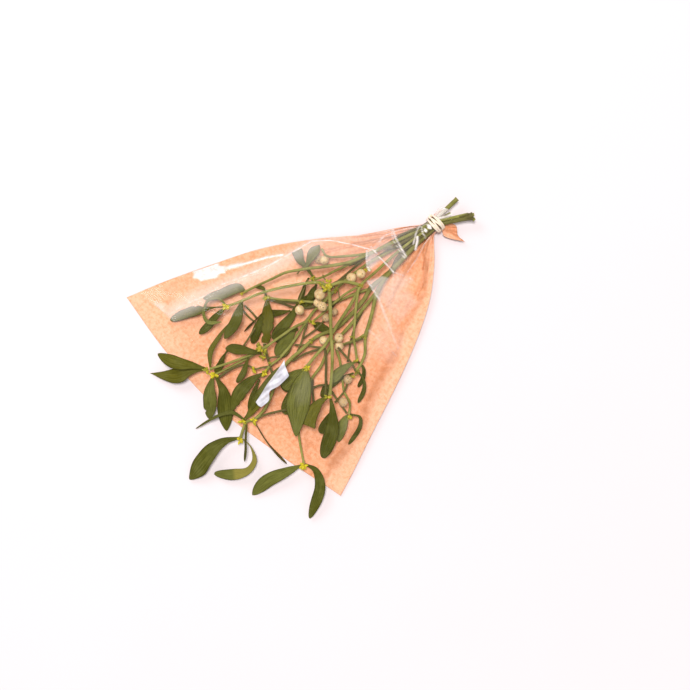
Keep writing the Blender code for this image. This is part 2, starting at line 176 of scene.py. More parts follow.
# %% Graph and Wire
class Wire:
    """One output socket, which can be calculated with."""

    def __init__(self, graph, socket):
        self.graph = graph
        self.socket = socket

    def maths(self, operation, *values, clamp=False):
        inputs = dict(enumerate(values))
        settings = {"operation": operation, "use_clamp": clamp}
        return self.graph.add("ShaderNodeMath", settings, inputs)[0]

    def __add__(self, other):
        return self.maths("ADD", self, other)

    def __sub__(self, other):
        return self.maths("SUBTRACT", self, other)

    def __rsub__(self, other):
        return self.maths("SUBTRACT", other, self)

    def __mul__(self, other):
        return self.maths("MULTIPLY", self, other)

    def __truediv__(self, other):
        return self.maths("DIVIDE", self, other)

    def __pow__(self, other):
        return self.maths("POWER", self, other)

    __radd__ = __add__
    __rmul__ = __mul__

    def __abs__(self):
        return self.maths("ABSOLUTE", self)

    def clamped(self):
        return self.maths("ADD", self, 0.0, clamp=True)

    def ramp(self, *stops):
        """Colours at positions, as (position, colour) pairs."""
        return self.graph.add("ShaderNodeValToRGB", {"stops": stops}, {"Fac": self})["Color"]

    def greys(self, *stops):
        """Greys at positions, as (position, value) pairs."""
        return self.ramp(*[(position, (value, value, value)) for position, value in stops])


class Made:
    """A node that was added: its outputs by name or number."""

    def __init__(self, graph, node):
        self.graph = graph
        self.node = node

    def __getitem__(self, key):
        return Wire(self.graph, self.node.outputs[key])


class Graph:
    """A node tree under construction."""

    def __init__(self, tree):
        self.tree = tree

    def add(self, kind, settings=None, inputs=None):
        """A node of this type, its settings set first and then the values or links of its sockets."""
        node = self.tree.nodes.new(kind)
        for name, value in (settings or {}).items():
            if name == "stops":
                self.set_stops(node.color_ramp, value)
            else:
                setattr(node, name, value)
        for key, value in (inputs or {}).items():
            if isinstance(value, Wire):
                self.tree.links.new(value.socket, node.inputs[key])
            else:
                node.inputs[key].default_value = value
        return Made(self, node)

    @staticmethod
    def set_stops(ramp, stops):
        while len(ramp.elements) < len(stops):
            ramp.elements.new(0.5)
        for element, (position, colour) in zip(ramp.elements, stops):
            element.position = position
            element.color = (*colour, 1)


class Finish(Graph):
    """A material under construction: a Principled shader and what feeds it."""

    COLOUR_A, COLOUR_B, MIXED = 6, 7, 2  # The colour sockets of a Mix node, which share their names

    def __init__(self, name, **constants):
        self.material = bpy.data.materials.new(name)
        self.material.use_nodes = True
        super().__init__(self.material.node_tree)
        self.tree.nodes.clear()
        sockets = {key.replace("_", " "): value for key, value in constants.items()}
        self.shader = self.add("ShaderNodeBsdfPrincipled", {}, sockets)
        self.output = self.add("ShaderNodeOutputMaterial")
        self.show(self.shader["BSDF"])
        self.place = self.add("ShaderNodeTexCoord")["Object"]

    def show(self, shader):
        self.tree.links.new(shader.socket, self.output.node.inputs["Surface"])

    def feed(self, **sockets):
        """Links values to the shader's sockets, each named with _ for a space."""
        for key, wire in sockets.items():
            self.tree.links.new(wire.socket, self.shader.node.inputs[key.replace("_", " ")])

    def speckle(self, scale, detail=3, roughness=0.6, vector=None):
        """Noise from 0 to 1; scale is in waves for each metre on Object coordinates."""
        inputs = {"Vector": vector or self.place, "Scale": scale, "Detail": detail, "Roughness": roughness}
        return self.add("ShaderNodeTexNoise", {}, inputs)["Fac"]

    def attribute(self, name, part="Fac"):
        return self.add("ShaderNodeAttribute", {"attribute_name": name})[part]

    def stretched(self, scale, vector=None):
        """Coordinates pulled out by a factor for each axis."""
        inputs = {"Vector": vector or self.place, "Scale": scale}
        return self.add("ShaderNodeMapping", {}, inputs)["Vector"]

    def blend(self, share, a, b):
        """A colour between a and b."""
        a, b = (colour if isinstance(colour, Wire) else (*colour, 1) for colour in (a, b))
        inputs = {"Factor": share, self.COLOUR_A: a, self.COLOUR_B: b}
        return self.add("ShaderNodeMix", {"data_type": "RGBA"}, inputs)[self.MIXED]

    def coated(self, colour, *coats):
        """A colour under thin coats of others, each a (share, colour) pair."""
        for share, coat in coats:
            colour = self.blend(share, colour, coat)
        return colour

    def relief(self, height, distance):
        """Small relief, in metres, which only the light sees."""
        bump = {"Height": height, "Distance": distance}
        self.feed(Normal=self.add("ShaderNodeBump", {}, bump)["Normal"])


print("graph helpers are ready")

# %% [markdown]
# ## The finishes
# Every finish is procedural, with its detail at the size of the real thing. Mistletoe bark is smooth,
# olive green and finely streaked along the stem. So its noise runs in the stem's own coordinates: the
# attribute "bark" holds the place round the ring and the length along the stem. Thick old wood is darker
# and browner than a young twig, and the age attribute says which is which; thin twigs and shoots deep in
# the bunch are given the same dark bark as painted shade.

# %% Bark
YOUNG_BARK = (0.168, 0.164, 0.034), (0.275, 0.260, 0.068)
OLD_AND_SHADED_BARK = (0.048, 0.037, 0.011), (0.160, 0.138, 0.045)
PORE_BROWN = (0.110, 0.080, 0.030)

bark = Finish("stem_bark", Roughness=0.5, Specular_IOR_Level=0.2)
bark_grain = bark.attribute("bark", "Vector")
streaks = bark.speckle(1.0, 5, 0.65, bark.stretched((2.2, 2.2, 0.9), bark_grain))
patches = bark.speckle(75, 3)
pores = bark.speckle(1.0, 2, 0.5, bark.stretched((5.0, 5.0, 4.0), bark_grain))
young = bark.blend(patches.greys((0.35, 0), (0.65, 1)), *YOUNG_BARK)
old_and_shaded = bark.blend(streaks.greys((0.3, 0), (0.7, 1)), *OLD_AND_SHADED_BARK)
bark_colour = bark.coated(
    young,
    (bark.attribute("age"), old_and_shaded),
    (pores.greys((0.62, 0), (0.74, 0.6)), PORE_BROWN),
)
bark.feed(Base_Color=bark_colour, Roughness=0.42 + streaks * 0.25)
bark.relief(streaks * 0.7 + pores * 0.3, 0.0004)
print("bark of", len(bark.tree.nodes), "nodes")

# %% [markdown]
# A mistletoe leaf is thick and leathery, with three to five faint veins that run from foot to tip. The
# blade carries its own coordinates: u along it and v across it, so that the veins follow its bend. The
# attribute "tone" makes one leaf lighter than the next, "warm" makes it more yellow, and "under" marks
# the paler underside. Fine fibres, a bloom of dust and a dark rim finish it; the rim is partly the thin
# margin and partly painted shade where the edge curves away from the light.

# %% Leaf
VEINS = (-0.62, -0.3, 0.0, 0.3, 0.62)
MIDRIB_WIDTH = 0.08
VEIN_WIDTH = 0.05
RIM_FROM = 0.82
LEAF_TOP = (0.046, 0.046, 0.003), (0.090, 0.087, 0.008)
LEAF_UNDER = (0.170, 0.145, 0.026), (0.270, 0.225, 0.050)
LIGHT_LEAF = (0.190, 0.192, 0.044)
WARM_LEAF = (0.125, 0.098, 0.002)
LEAF_DUST = (0.175, 0.180, 0.075)
LEAF_FIBRE = (0.030, 0.032, 0.002)
TOP_VEIN = (0.210, 0.205, 0.055)
UNDER_VEIN = (0.120, 0.105, 0.022)
LEAF_RIM_AND_SHADE = (0.036, 0.034, 0.004)

leaf_finish = Finish("leathery_leaf", Roughness=0.5, Specular_IOR_Level=0.10)
blade = leaf_finish.add("ShaderNodeUVMap", {"uv_map": "blade"})["UV"]
blade_parts = leaf_finish.add("ShaderNodeSeparateXYZ", {}, {"Vector": blade})
across = blade_parts["Y"] + (leaf_finish.speckle(120, 2) - 0.5) * 0.10
veins = 0.0
for vein in VEINS:
    veins = veins + (1 - abs(across - vein) / (VEIN_WIDTH if vein else MIDRIB_WIDTH)).clamped()
mottle = leaf_finish.speckle(110, 5, 0.65)
pits = leaf_finish.speckle(1500, 3, 0.6)
# Painted shade along the edge, where the blade curves away, over its thin dark margin.
rim_and_shade = ((abs(across) - RIM_FROM) * 6).clamped()
dust = leaf_finish.speckle(55, 4, 0.6)
fibre = leaf_finish.speckle(1.0, 4, 0.65, leaf_finish.stretched((4, 11, 1), blade))
top = leaf_finish.coated(
    leaf_finish.blend(mottle.greys((0.3, 0), (0.7, 1)), *LEAF_TOP),
    (leaf_finish.attribute("tone"), LIGHT_LEAF),
    (leaf_finish.attribute("warm"), WARM_LEAF),
    (dust.greys((0.45, 0), (0.72, 0.28)), LEAF_DUST),
    (fibre.greys((0.42, 0.55), (0.56, 0)), LEAF_FIBRE),
    (veins * 0.22, TOP_VEIN),
)
under = leaf_finish.coated(leaf_finish.blend(mottle, *LEAF_UNDER), (veins * 0.5, UNDER_VEIN))
leaf_colour = leaf_finish.coated(
    top,
    (leaf_finish.attribute("under"), under),
    (rim_and_shade * 0.75, LEAF_RIM_AND_SHADE),
)
leaf_finish.feed(Base_Color=leaf_colour, Roughness=0.40 + mottle * 0.22)
leaf_finish.relief(pits * 0.35 + mottle * 0.3 + veins * 0.35, 0.00025)
print("leaf of", len(leaf_finish.tree.nodes), "nodes")

# %% [markdown]
# The berries are translucent and milky, with a soft skin and faint pale meridians from stalk to apex.
# Light enters the skin and comes out again a little further on, which is what subsurface scattering does.
# Some berries, half hidden in the bunch, are painted browner as painted shade by an attribute of their own.
# "ripe" makes a bud yellow instead of green.

# %% Berry, its dark marks, and the buds
BERRY_FLESH = (0.490, 0.330, 0.150), (0.720, 0.545, 0.305)
MERIDIAN_PALE = (0.860, 0.760, 0.520)
SHADED_BERRY = (0.420, 0.265, 0.140)
MARK_BROWN = (0.070, 0.035, 0.012), (0.150, 0.080, 0.030)
YELLOW_BUD = (0.30, (0.250, 0.240, 0.012)), (0.48, (0.560, 0.450, 0.014)), (0.75, (0.720, 0.580, 0.030))
GREEN_BUD = (0.30, (0.095, 0.090, 0.008)), (0.52, (0.210, 0.190, 0.018)), (0.75, (0.360, 0.310, 0.040))

berry_finish = Finish("milky_berry", Roughness=0.33, Specular_IOR_Level=0.5, Subsurface_Weight=0.55,
                      Subsurface_Radius=(1.0, 0.7, 0.4), Subsurface_Scale=0.0022)
flesh = berry_finish.speckle(260, 4, 0.6)
skin = berry_finish.speckle(1400, 3)
berry_colour = berry_finish.coated(
    berry_finish.blend(flesh.greys((0.32, 0), (0.68, 1)), *BERRY_FLESH),
    (berry_finish.attribute("meridian") * 0.5, MERIDIAN_PALE),
    (berry_finish.attribute("dull"), SHADED_BERRY),
)
berry_finish.feed(Base_Color=berry_colour, Roughness=0.28 + skin * 0.14)
berry_finish.relief(skin, 0.00008)

mark_finish = Finish("berry_mark", Roughness=0.7)
mark_finish.feed(Base_Color=mark_finish.blend(mark_finish.speckle(3000), *MARK_BROWN))

bud_finish = Finish("waxy_bud", Roughness=0.42, Specular_IOR_Level=0.5, Subsurface_Weight=0.2,
                    Subsurface_Radius=(0.8, 0.6, 0.1), Subsurface_Scale=0.001)
bud_bloom = bud_finish.speckle(420, 4)
green, yellow = bud_bloom.ramp(*GREEN_BUD), bud_bloom.ramp(*YELLOW_BUD)
bud_finish.feed(Base_Color=bud_finish.blend(bud_finish.attribute("ripe"), green, yellow))
bud_finish.relief(bud_bloom, 0.0003)
print("berry, mark and bud finishes")

# %% [markdown]
# Kraft paper is uncoated: a warm brown with soft cloudy patches, short fibres lying all ways, pale and
# dark flecks, and a few darker shives. Two sets of stretched noise, one along each direction, make the
# fibres. A paler coat is painted light: the paper is lighter where its turned side faces the light and
# where the shade under the leaves is lifted. Folds are darkened, partly as worn creases and partly as
# painted shade.

# %% Kraft paper
DEEP_KRAFT = (0.34, (0.610, 0.215, 0.092)), (0.52, (0.730, 0.285, 0.138)), (0.68, (0.790, 0.365, 0.200))
PALE_KRAFT = (0.34, (0.690, 0.335, 0.190)), (0.52, (0.790, 0.415, 0.265)), (0.68, (0.850, 0.500, 0.345))
KRAFT_CLOUD = (0.800, 0.385, 0.220)
PALE_FLECK = (0.860, 0.490, 0.320)
DARK_FLECK = (0.620, 0.250, 0.115)
SHIVE_BROWN = (0.460, 0.180, 0.080)
CREASE_WEAR_AND_SHADE = (0.420, 0.150, 0.060)

kraft = Finish("kraft_paper", Roughness=0.85, Specular_IOR_Level=0.2)
clouds = kraft.speckle(26, 4, 0.6)
fibres_x = kraft.speckle(1.0, 3, 0.6, kraft.stretched((260, 1500, 600)))
fibres_y = kraft.speckle(1.0, 3, 0.6, kraft.stretched((1500, 300, 600)))
shives = kraft.speckle(1.0, 2, 0.5, kraft.stretched((420, 900, 500)))
fibres = fibres_x * 0.5 + fibres_y * 0.5
flecks = kraft.speckle(330, 4, 0.7)
pulp = kraft.coated(
    fibres.ramp(*DEEP_KRAFT),
    # Painted light: paler where the paper faces the light and where the shade of the leaves is lifted.
    (kraft.attribute("bleach"), fibres.ramp(*PALE_KRAFT)),
    (clouds.greys((0.36, 0), (0.66, 0.5)), KRAFT_CLOUD),
    (flecks.greys((0.42, 0), (0.64, 0.5)), PALE_FLECK),
    (flecks.greys((0.36, 0.5), (0.50, 0)), DARK_FLECK),
    (shives.greys((0.66, 0), (0.74, 0.5)), SHIVE_BROWN),
    # Folds darkened, partly as worn creases and partly as painted shade.
    (kraft.attribute("crease"), CREASE_WEAR_AND_SHADE),
)
kraft.feed(Base_Color=pulp)
kraft.relief(fibres * 0.5 + flecks * 0.5, 0.0002)
print("kraft paper of", len(kraft.tree.nodes), "nodes")

# %% [markdown]
# The film is clear: most of what reaches the eye comes straight through it. It also mirrors the room,
# little where it is seen face on and more where it slopes away. Layer Weight's facing value gives that
# for both sides of the thin sheet, where a Fresnel node would trap the light inside. Where the film is
# folded over on itself or crushed it turns milky, and the same white is painted as highlights, glints
# and hazy reflections where the film would catch the light; the milk attribute says how much of both.

# %% Clear film
FACE_ON_GLOSS = 0.006
EDGE_ON_GLOSS = 0.6
FILM_TINT = (0.996, 0.994, 0.992, 1)
LEAST_MILK = 0.7
MILK_MOTTLE = 0.6


def film_finish(name, dull, bright):
    """Clear film whose milky folds and painted highlights lie between two shades of white."""
    film = Finish(name, Base_Color=(1, 1, 1, 1), Metallic=1.0, Roughness=0.07)
    whiteness = film.speckle(110, 4).ramp((0.35, dull), (0.65, bright))
    milk_and_glare_white = film.add("ShaderNodeBsdfPrincipled", {}, {"Base Color": whiteness, "Roughness": 0.4})["BSDF"]
    clear = film.add("ShaderNodeBsdfTransparent", {}, {"Color": FILM_TINT})["BSDF"]
    milk = (film.attribute("milk") * (LEAST_MILK + film.speckle(160, 4) * MILK_MOTTLE)).clamped()
    body = film.add("ShaderNodeMixShader", {}, {0: milk, 1: clear, 2: milk_and_glare_white})["Shader"]
    slope = film.add("ShaderNodeLayerWeight", {}, {"Blend": 0.5})["Facing"]
    gloss = slope**4 * EDGE_ON_GLOSS + FACE_ON_GLOSS
    mirror = film.shader["BSDF"]
    film.show(film.add("ShaderNodeMixShader", {}, {0: gloss, 1: body, 2: mirror})["Shader"])
    return film


film = film_finish("clear_film", (0.700, 0.620, 0.600), (0.820, 0.750, 0.720))
torn_film = film_finish("torn_film", (0.500, 0.480, 0.540), (0.700, 0.680, 0.720))
print("film of", len(film.tree.nodes), "nodes")

# %% [markdown]
# The elastic band is soft cream rubber with a chalky bloom, and the table a plain pale top whose shade
# drifts a little from place to place.

# %% Rubber and table
RUBBER_CREAM = (0.3, (0.740, 0.590, 0.450)), (0.7, (0.860, 0.750, 0.620))
TABLE_PALE = (0.3, (0.700, 0.622, 0.632)), (0.7, (0.710, 0.632, 0.642))

rubber = Finish("elastic_rubber", Roughness=0.6, Subsurface_Weight=0.15,
                Subsurface_Radius=(1.0, 0.6, 0.4), Subsurface_Scale=0.001)
chalk = rubber.speckle(900, 4)
rubber.feed(Base_Color=chalk.ramp(*RUBBER_CREAM), Roughness=0.5 + chalk * 0.25)
rubber.relief(chalk, 0.0002)

table_finish = Finish("pale_table", Roughness=0.7, Specular_IOR_Level=0.2)
table_finish.feed(Base_Color=table_finish.speckle(3).ramp(*TABLE_PALE))
print(len(bpy.data.materials), "finishes, with the frame's own")

# %% [markdown]
# ## From points to pieces
# Three small helpers turn a list of points into a finished object. `add_piece` makes the mesh,
# `paint` stores a number for each of its points, which a finish can read, and `settle` hands the piece
# to the frame: the body that it rides on and the solids that it stands for.

# %% Pieces and the table top
def add_piece(name, points, faces, finish):
    """A smooth-shaded mesh object from points in millimetres about the tie."""
    mesh = bpy.data.meshes.new(name)
    mesh.from_pydata([place(point) for point in points], [], faces)
    mesh.materials.append(finish.material)
    mesh.shade_smooth()
    return linked(name, mesh)


def paint(piece, name, values):
    """Keeps a number on each point of the piece, for a finish to read."""
    layer = piece.data.attributes.new(name, "FLOAT", "POINT")
    layer.data.foreach_set("value", np.asarray(values, np.float32).ravel())


def settle(piece, slot, *nodes):
    """Hands the piece to the frame, with the solids that it stands for."""
    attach(piece, "root")
    if nodes:
        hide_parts(*nodes)
    return piece


def circle_faces(rings, sides, closed=False):
    """Quads between rings of points, with a cap at each end unless the rings join up."""
    faces = []
    for i in range(rings if closed else rings - 1):
        here, there = i * sides, (i + 1) % rings * sides
        for j in range(sides):
            k = (j + 1) % sides
            faces.append((here + j, here + k, there + k, there + j))
    if not closed:
        last = (rings - 1) * sides
        faces.append(tuple(range(sides))[::-1])
        faces.append(tuple(range(last, last + sides)))
    return faces


TABLE_REACH = 3000.0
TABLE_DROP = 0.25

signs = [(-1, -1), (1, -1), (1, 1), (-1, 1)]
corners = [(x * TABLE_REACH, y * TABLE_REACH, -TABLE_DROP) for x, y in signs]
table = add_piece("table", corners, [(0, 1, 2, 3)], table_finish)
table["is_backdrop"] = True
print("table", 2 * TABLE_REACH * MILLIMETRE, "m across")

# %% [markdown]
# ## Creased sheets
# Paper and film are each one sheet. A few rows of listed points give the large form, and a smooth
# surface through them gives a fine grid. Folds are then pressed into it: every fold is a line across the
# sheet with a width and a height, and each grid point rises by how near it lies to the line. `mark` is
# how strongly the fold changes the finish: a fold darkens paper, partly as a worn crease and partly as
# painted shade, and makes film milky, partly as real whitening and partly as a painted highlight.

# %% Sheets and folds
Fold = namedtuple("Fold", "width height mark route")
Patch = namedtuple("Patch", "edge amount outline")

ROW_SEARCH = 400


def net_points(net, along, across):
    """A fine grid on the smooth sheet through a net, its rows evenly spaced along the middle."""
    columns = len(net[0])
    middle = path_of([row[columns // 2] for row in net], ROW_SEARCH)
    run = np.cumsum([0] + [(b - a).length for a, b in zip(middle, middle[1:])])
    even = np.linspace(0, run[-1], along + 1)
    rows = []
    for share in np.interp(even, run, np.linspace(0, 1, len(run))):
        row = [through([line[k] for line in net], share) for k in range(columns)]
        rows.append([tuple(through(row, j / across)) for j in range(across + 1)])
    return np.array(rows)


def away_from(route, grid):
    """How far each grid point lies from a line of points, seen from above."""
    nearest = np.full(grid.shape[:2], np.inf)
    for (ax, ay), (bx, by) in zip(route, route[1:]):
        dx, dy = bx - ax, by - ay
        x, y = grid[..., 0] - ax, grid[..., 1] - ay
        t = np.clip((x * dx + y * dy) / (dx * dx + dy * dy), 0, 1)
        nearest = np.minimum(nearest, np.hypot(x - t * dx, y - t * dy))
    return nearest


def within(patch, grid):
    """From 0 outside a patch to 1 inside it, over the width of its soft edge."""
    x, y = grid[..., 0], grid[..., 1]
    ring = list(patch.outline) + [patch.outline[0]]
    crossings = np.zeros(x.shape, int)
    for (ax, ay), (bx, by) in zip(ring, ring[1:]):
        spans = (ay > y) != (by > y)
        crossings += spans & (x < ax + (y - ay) * (bx - ax) / ((by - ay) or 1e-9))
    signed = np.where(crossings % 2, 1, -1) * away_from(ring, grid)
    return np.clip(0.5 + signed / patch.edge, 0, 1)


def from_tie(grid, reach):
    """1 at the tie and beyond it, falling away over this many millimetres towards the mouth."""
    return np.exp((grid[..., 1] + 10) / reach).clip(0, 1)


def under_band(grid, reach):
    """1 under the band, falling away on both sides of it."""
    return np.exp(-((grid[..., 1] + 1) / reach) ** 2)


def rumple(grid, scale, seed):
    """Smooth noise over the sheet, about -0.5 to 0.5, with waves of this many millimetres."""
    flat = grid.reshape(-1, 3) / scale
    return np.array([noise.noise(Vector((x, y, seed))) for x, y, _ in flat]).reshape(grid.shape[:2])


def sheet_piece(name, grid, thickness, finish):
    """The grid as a thin closed sheet, thickened upwards."""
    rows, columns = grid.shape[:2]
    faces = []
    for i in range(rows - 1):
        for j in range(columns - 1):
            corner = i * columns + j
            faces.append((corner, corner + 1, corner + columns + 1, corner + columns))
    piece = add_piece(name, grid.reshape(-1, 3).tolist(), faces, finish)
    solid = piece.modifiers.new("thickness", "SOLIDIFY")
    solid.thickness = thickness * MILLIMETRE
    solid.offset = 1
    return piece


print("sheets can be creased")

# %% [markdown]
# ## The kraft paper
# The paper is a tapering sheet cut straight across at the mouth. It lies flat below the leaves, cups
# round the stems as it nears the tie, and ends in a crumpled tail on the right. Its right side is turned
# over along a soft crease, and pleats run out from the tie where it was gathered.

# %% Paper
PAPER_THICKNESS = 0.2
PAPER_PLEATS = 8
PLEAT_HEIGHT = 0.55

PAPER_NET = [
    [(-151, -251, 0), (-92, -259.5, 0), (-28, -262, 0), (45, -251.5, 0), (117, -236, 1)],
    [(-137, -215, 0), (-80, -222, 0), (-20, -224, 0), (45, -218, 0), (109, -212, 3)],
    [(-119, -175, 0), (-70, -180, 0), (-15, -182, 0), (40, -178, 0), (96, -176, 4)],
    [(-97, -130, 0), (-55, -133, 0), (-10, -134, 0), (35, -132, 0), (80, -130, 4)],
    [(-70, -90, 1), (-40, -91, 0), (-5, -92, 0), (30, -91, 0), (64, -90, 4)],
    [(-42, -55, 3), (-25, -56, 0.5), (0, -56, 0), (25, -55, 0.5), (46, -55, 5)],
    [(-24, -28, 5.5), (-14, -29, 1.8), (0, -29, 1), (12, -29, 1.8), (25, -28, 5.5)],
    [(-11, -10, 7), (-8, -10.5, 3.6), (-2.4, -11, 2.2), (3, -10.5, 3.6), (6, -10, 7)],
    [(-8.6, -4, 8.4), (-6.8, -4, 4.7), (-2.4, -4, 2.9), (2, -4, 4.7), (3.8, -4, 8.4)],
    [(-8.6, 3, 8.4), (-6.8, 3, 4.7), (-2.4, 3, 2.9), (2, 3, 4.7), (3.8, 3, 8.4)],
    [(-9.5, 6, 7.4), (-4, 5, 3.4), (5, 5.5, 3.2), (9.5, 3, 5), (11.5, -2, 7)],
    [(-8.5, 14.5, 8.4), (0, 8, 3), (12, 12.5, 2), (19.5, 7.5, 4.2), (28.5, 8, 6.5)],
]
PAPER_FOLDS = [
    Fold(2.6, 1.5, 0.45, [(5, -17), (15, -28), (25, -38), (35, -50), (40, -65), (47, -90), (61, -112),
                          (67, -140), (78, -165), (85, -175), (90, -210), (95, -240)]),
    # A broad band of painted shade beside the turned side, which barely rises.
    Fold(5.0, 0.2, 0.60, [(58, -112), (66, -140), (76, -165), (84, -178), (89, -205), (91, -222)]),
    Fold(1.0, 1.0, 0.75, [(4, -14), (12, -26), (22, -34), (30, -45), (34, -56)]),
    Fold(1.5, 0.9, 0.50, [(3, -18), (7, -34), (10, -50), (22, -84)]),
    Fold(0.8, 0.7, 0.80, [(4, -19), (9, -26), (14, -29), (20, -37)]),
    Fold(0.7, 0.7, 0.70, [(4.5, -24), (7, -31), (9, -38)]),
    Fold(0.5, 0.6, 0.65, [(-13, -16), (-22, -32), (-33, -51)]),
    Fold(0.5, 0.6, 0.60, [(-16, -25), (-28, -45), (-43, -67)]),
    Fold(0.5, 0.6, 0.60, [(-12.5, -11), (-25, -31), (-41, -55)]),
    Fold(0.5, 0.5, 0.55, [(-11, -16), (-17, -26), (-22, -38), (-25, -54)]),
    Fold(0.6, 0.5, 0.50, [(-30, -52), (-44, -74), (-54, -92)]),
    Fold(1.4, 0.8, 0.40, [(-13, -20), (-24, -38), (-36, -58), (-58, -92)]),
    Fold(1.8, 0.7, 0.30, [(-15, -34), (-34, -66), (-52, -100), (-62, -122)]),
    Fold(1.6, 0.5, 0.10, [(6, -60), (24, -66), (38, -64)]),
    Fold(2.2, 0.5, 0.15, [(20, -98), (38, -103), (58, -106)]),
    Fold(2.5, 0.4, 0.10, [(-132, -214), (-118, -232), (-100, -240)]),
    Fold(2.2, 0.4, 0.20, [(30, -190), (60, -226), (84, -240)]),
    Fold(0.8, 0.7, 0.45, [(-12, -13), (-19, -26), (-27, -38), (-38, -52), (-46, -62)]),
    Fold(0.7, 0.6, 0.45, [(-14, -22), (-21, -34), (-28, -48), (-31, -58)]),
    Fold(0.7, 0.5, 0.35, [(-26, -36), (-36, -56), (-50, -76)]),
    Fold(0.8, 0.5, 0.35, [(2, -30), (5, -44), (6, -60)]),
    Fold(3.0, 0.2, 0.25, [(30, -52), (36, -66), (38, -78), (46, -98)]),
    Fold(1.2, 1.4, 0.65, [(6, 1), (13, 5), (20, 6), (27, 8)]),
    Fold(0.9, 1.2, 0.50, [(6, 5), (10, 9), (13, 12)]),
    Fold(0.8, 0.9, 0.35, [(8, -2), (16, 1), (23, 5)]),
    Fold(0.6, 1.1, 0.60, [(8, 3), (14, 7), (17, 9)]),
    Fold(1.6, 0.5, 0.40, [(14, -26), (24, -38), (30, -52), (34, -72)]),
]
# Painted light: the paper is paler on the turned side, which faces the light, at the mouth, on the left
# and in the middle, where it lifts the shade cast by the leaves and stems.
PAINTED_LIGHT_PATCHES = [
    Patch(5, 0.9, [(5, -15), (15, -28), (25, -38), (35, -50), (40, -65), (47, -90), (61, -112), (67, -140),
                   (78, -165), (85, -175), (90, -210), (97, -250), (140, -250), (110, -150), (40, -20)]),
    Patch(26, 1.0, [(-165, -262), (-165, -225), (-130, -225), (-100, -238), (-40, -252), (20, -252),
                    (20, -275)]),
    Patch(40, 0.85, [(-145, -240), (-120, -185), (-72, -110), (-30, -110), (-60, -180), (-90, -240)]),
    Patch(5, 0.9, [(4, -60), (12, -57), (20, -53), (22, -70), (27, -86), (40, -98), (46, -134), (20, -140),
                   (4, -110)]),
    Patch(2.5, 1.0, [(6, 0), (12, -3), (22, 3), (30, 8), (22, 6), (14, 3)]),
]

paper_grid = net_points(PAPER_NET, 210, 150)
across_paper = np.linspace(0, 1, paper_grid.shape[1])[None, :]
pleats = np.sin(2 * math.pi * (PAPER_PLEATS * across_paper + rumple(paper_grid, 30, 4)))
lift = PLEAT_HEIGHT * from_tie(paper_grid, 38) * (1 + pleats)
lift += 0.45 * (0.5 + rumple(paper_grid, 24, 1)) + 0.18 * (0.5 + rumple(paper_grid, 7, 2))
folded = [np.exp(-(away_from(fold.route, paper_grid) / fold.width) ** 2) for fold in PAPER_FOLDS]
for fold, pressed in zip(PAPER_FOLDS, folded):
    lift += fold.height * pressed
lift *= 1 - 0.9 * under_band(paper_grid, 9)
paper_grid[..., 2] = np.maximum(paper_grid[..., 2] + lift, 0)
paper = sheet_piece("paper_back", paper_grid, PAPER_THICKNESS, kraft)
# The paler patches are painted light.
bleach = [patch.amount * within(patch, paper_grid) for patch in PAINTED_LIGHT_PATCHES]
paint(paper, "bleach", np.max(bleach, axis=0))
creased = [fold.mark * pressed for fold, pressed in zip(PAPER_FOLDS, folded)]
# Fold darkening: partly worn creases, partly painted shade.
paint(paper, "crease", np.max(creased, axis=0) * (0.9 + 0.6 * rumple(paper_grid, 6, 5)))
settle(paper, "kraft_paper", "kraft_paper_back")
print("paper", len(paper.data.polygons), "faces")

# %% [markdown]
# ## The clear film
# The film stands over the leaves like a low tent. Its creases are what the eye reads: a sealed seam
# along the left with a bubbled, crushed end, cross folds where it was wrung above the stems, and a torn
# curl at the mouth that throws the light straight back. Each fold both bends the sheet and adds milk,
# which is partly the real whitening of folded film and partly a painted highlight along the crease.
# Real milky film scatters light onwards and darkens nothing below it, so the film casts no shadow.

# %% Film
FILM_THICKNESS = 0.06
FILM_PLEATS = 7
FILM_LOWEST = 0.4

FILM_NET = [
    [(-146, -240, 1), (-118, -236, 9), (-75, -234, 26), (-15, -232, 30), (50, -230, 26), (92, -229, 14),
     (114, -229, 4)],
    [(-130, -200, 1), (-103, -199, 17), (-66, -198, 33), (-12, -196, 36), (50, -196, 33), (84, -196, 19),
     (104, -197, 4.5)],
    [(-112, -162, 1), (-88, -161, 19), (-55, -160, 36), (-10, -158, 40), (42, -159, 37), (73, -160, 21),
     (91, -161, 5)],
    [(-90, -118, 1), (-70, -117, 19), (-42, -116, 38), (-10, -115, 39), (32, -116, 31), (60, -117, 15),
     (74, -118, 5)],
    [(-64, -81, 2), (-53, -80, 18), (-29, -79, 31), (-9, -78, 32), (22, -79, 24), (46, -80, 12),
     (59, -81, 5)],
    [(-40, -53, 4), (-30, -53, 14), (-20, -52.5, 24), (-7, -52, 25), (12, -52.5, 19), (32, -53, 10),
     (44, -53, 6)],
    [(-24, -28.5, 7), (-20, -28.5, 13), (-14, -28.5, 18), (-5, -28.5, 19.5), (5, -28.5, 16),
     (16, -28.5, 10), (24, -28.5, 7)],
    [(-11, -10, 9), (-9.5, -10, 12.5), (-7, -10, 15), (-3, -10, 16), (1.5, -10, 14.5), (4.5, -10, 11.5),
     (6, -10, 9)],
    [(-8.3, -4, 9.9), (-7.2, -4, 12.4), (-5.2, -4, 14.3), (-2.4, -4, 15.05), (0.4, -4, 14.3),
     (2.4, -4, 12.4), (3.5, -4, 9.9)],
    [(-8.3, 3, 9.9), (-7.2, 3, 12.4), (-5.2, 3, 14.3), (-2.4, 3, 15.05), (0.4, 3, 14.3), (2.4, 3, 12.4),
     (3.5, 3, 9.9)],
    [(-9.5, 7, 8), (-8.6, 7, 11), (-6.5, 7.5, 13.5), (-3.2, 8, 15.4), (0, 8, 16), (3, 7, 14.8),
     (5.5, 6, 13.5)],
    [(-11, 13, 6), (-10, 14, 10), (-7.5, 15.5, 13.6), (-3.5, 17, 16.5), (0.5, 17.5, 17.5), (4.5, 15, 17),
     (8, 13, 16.5)],
]
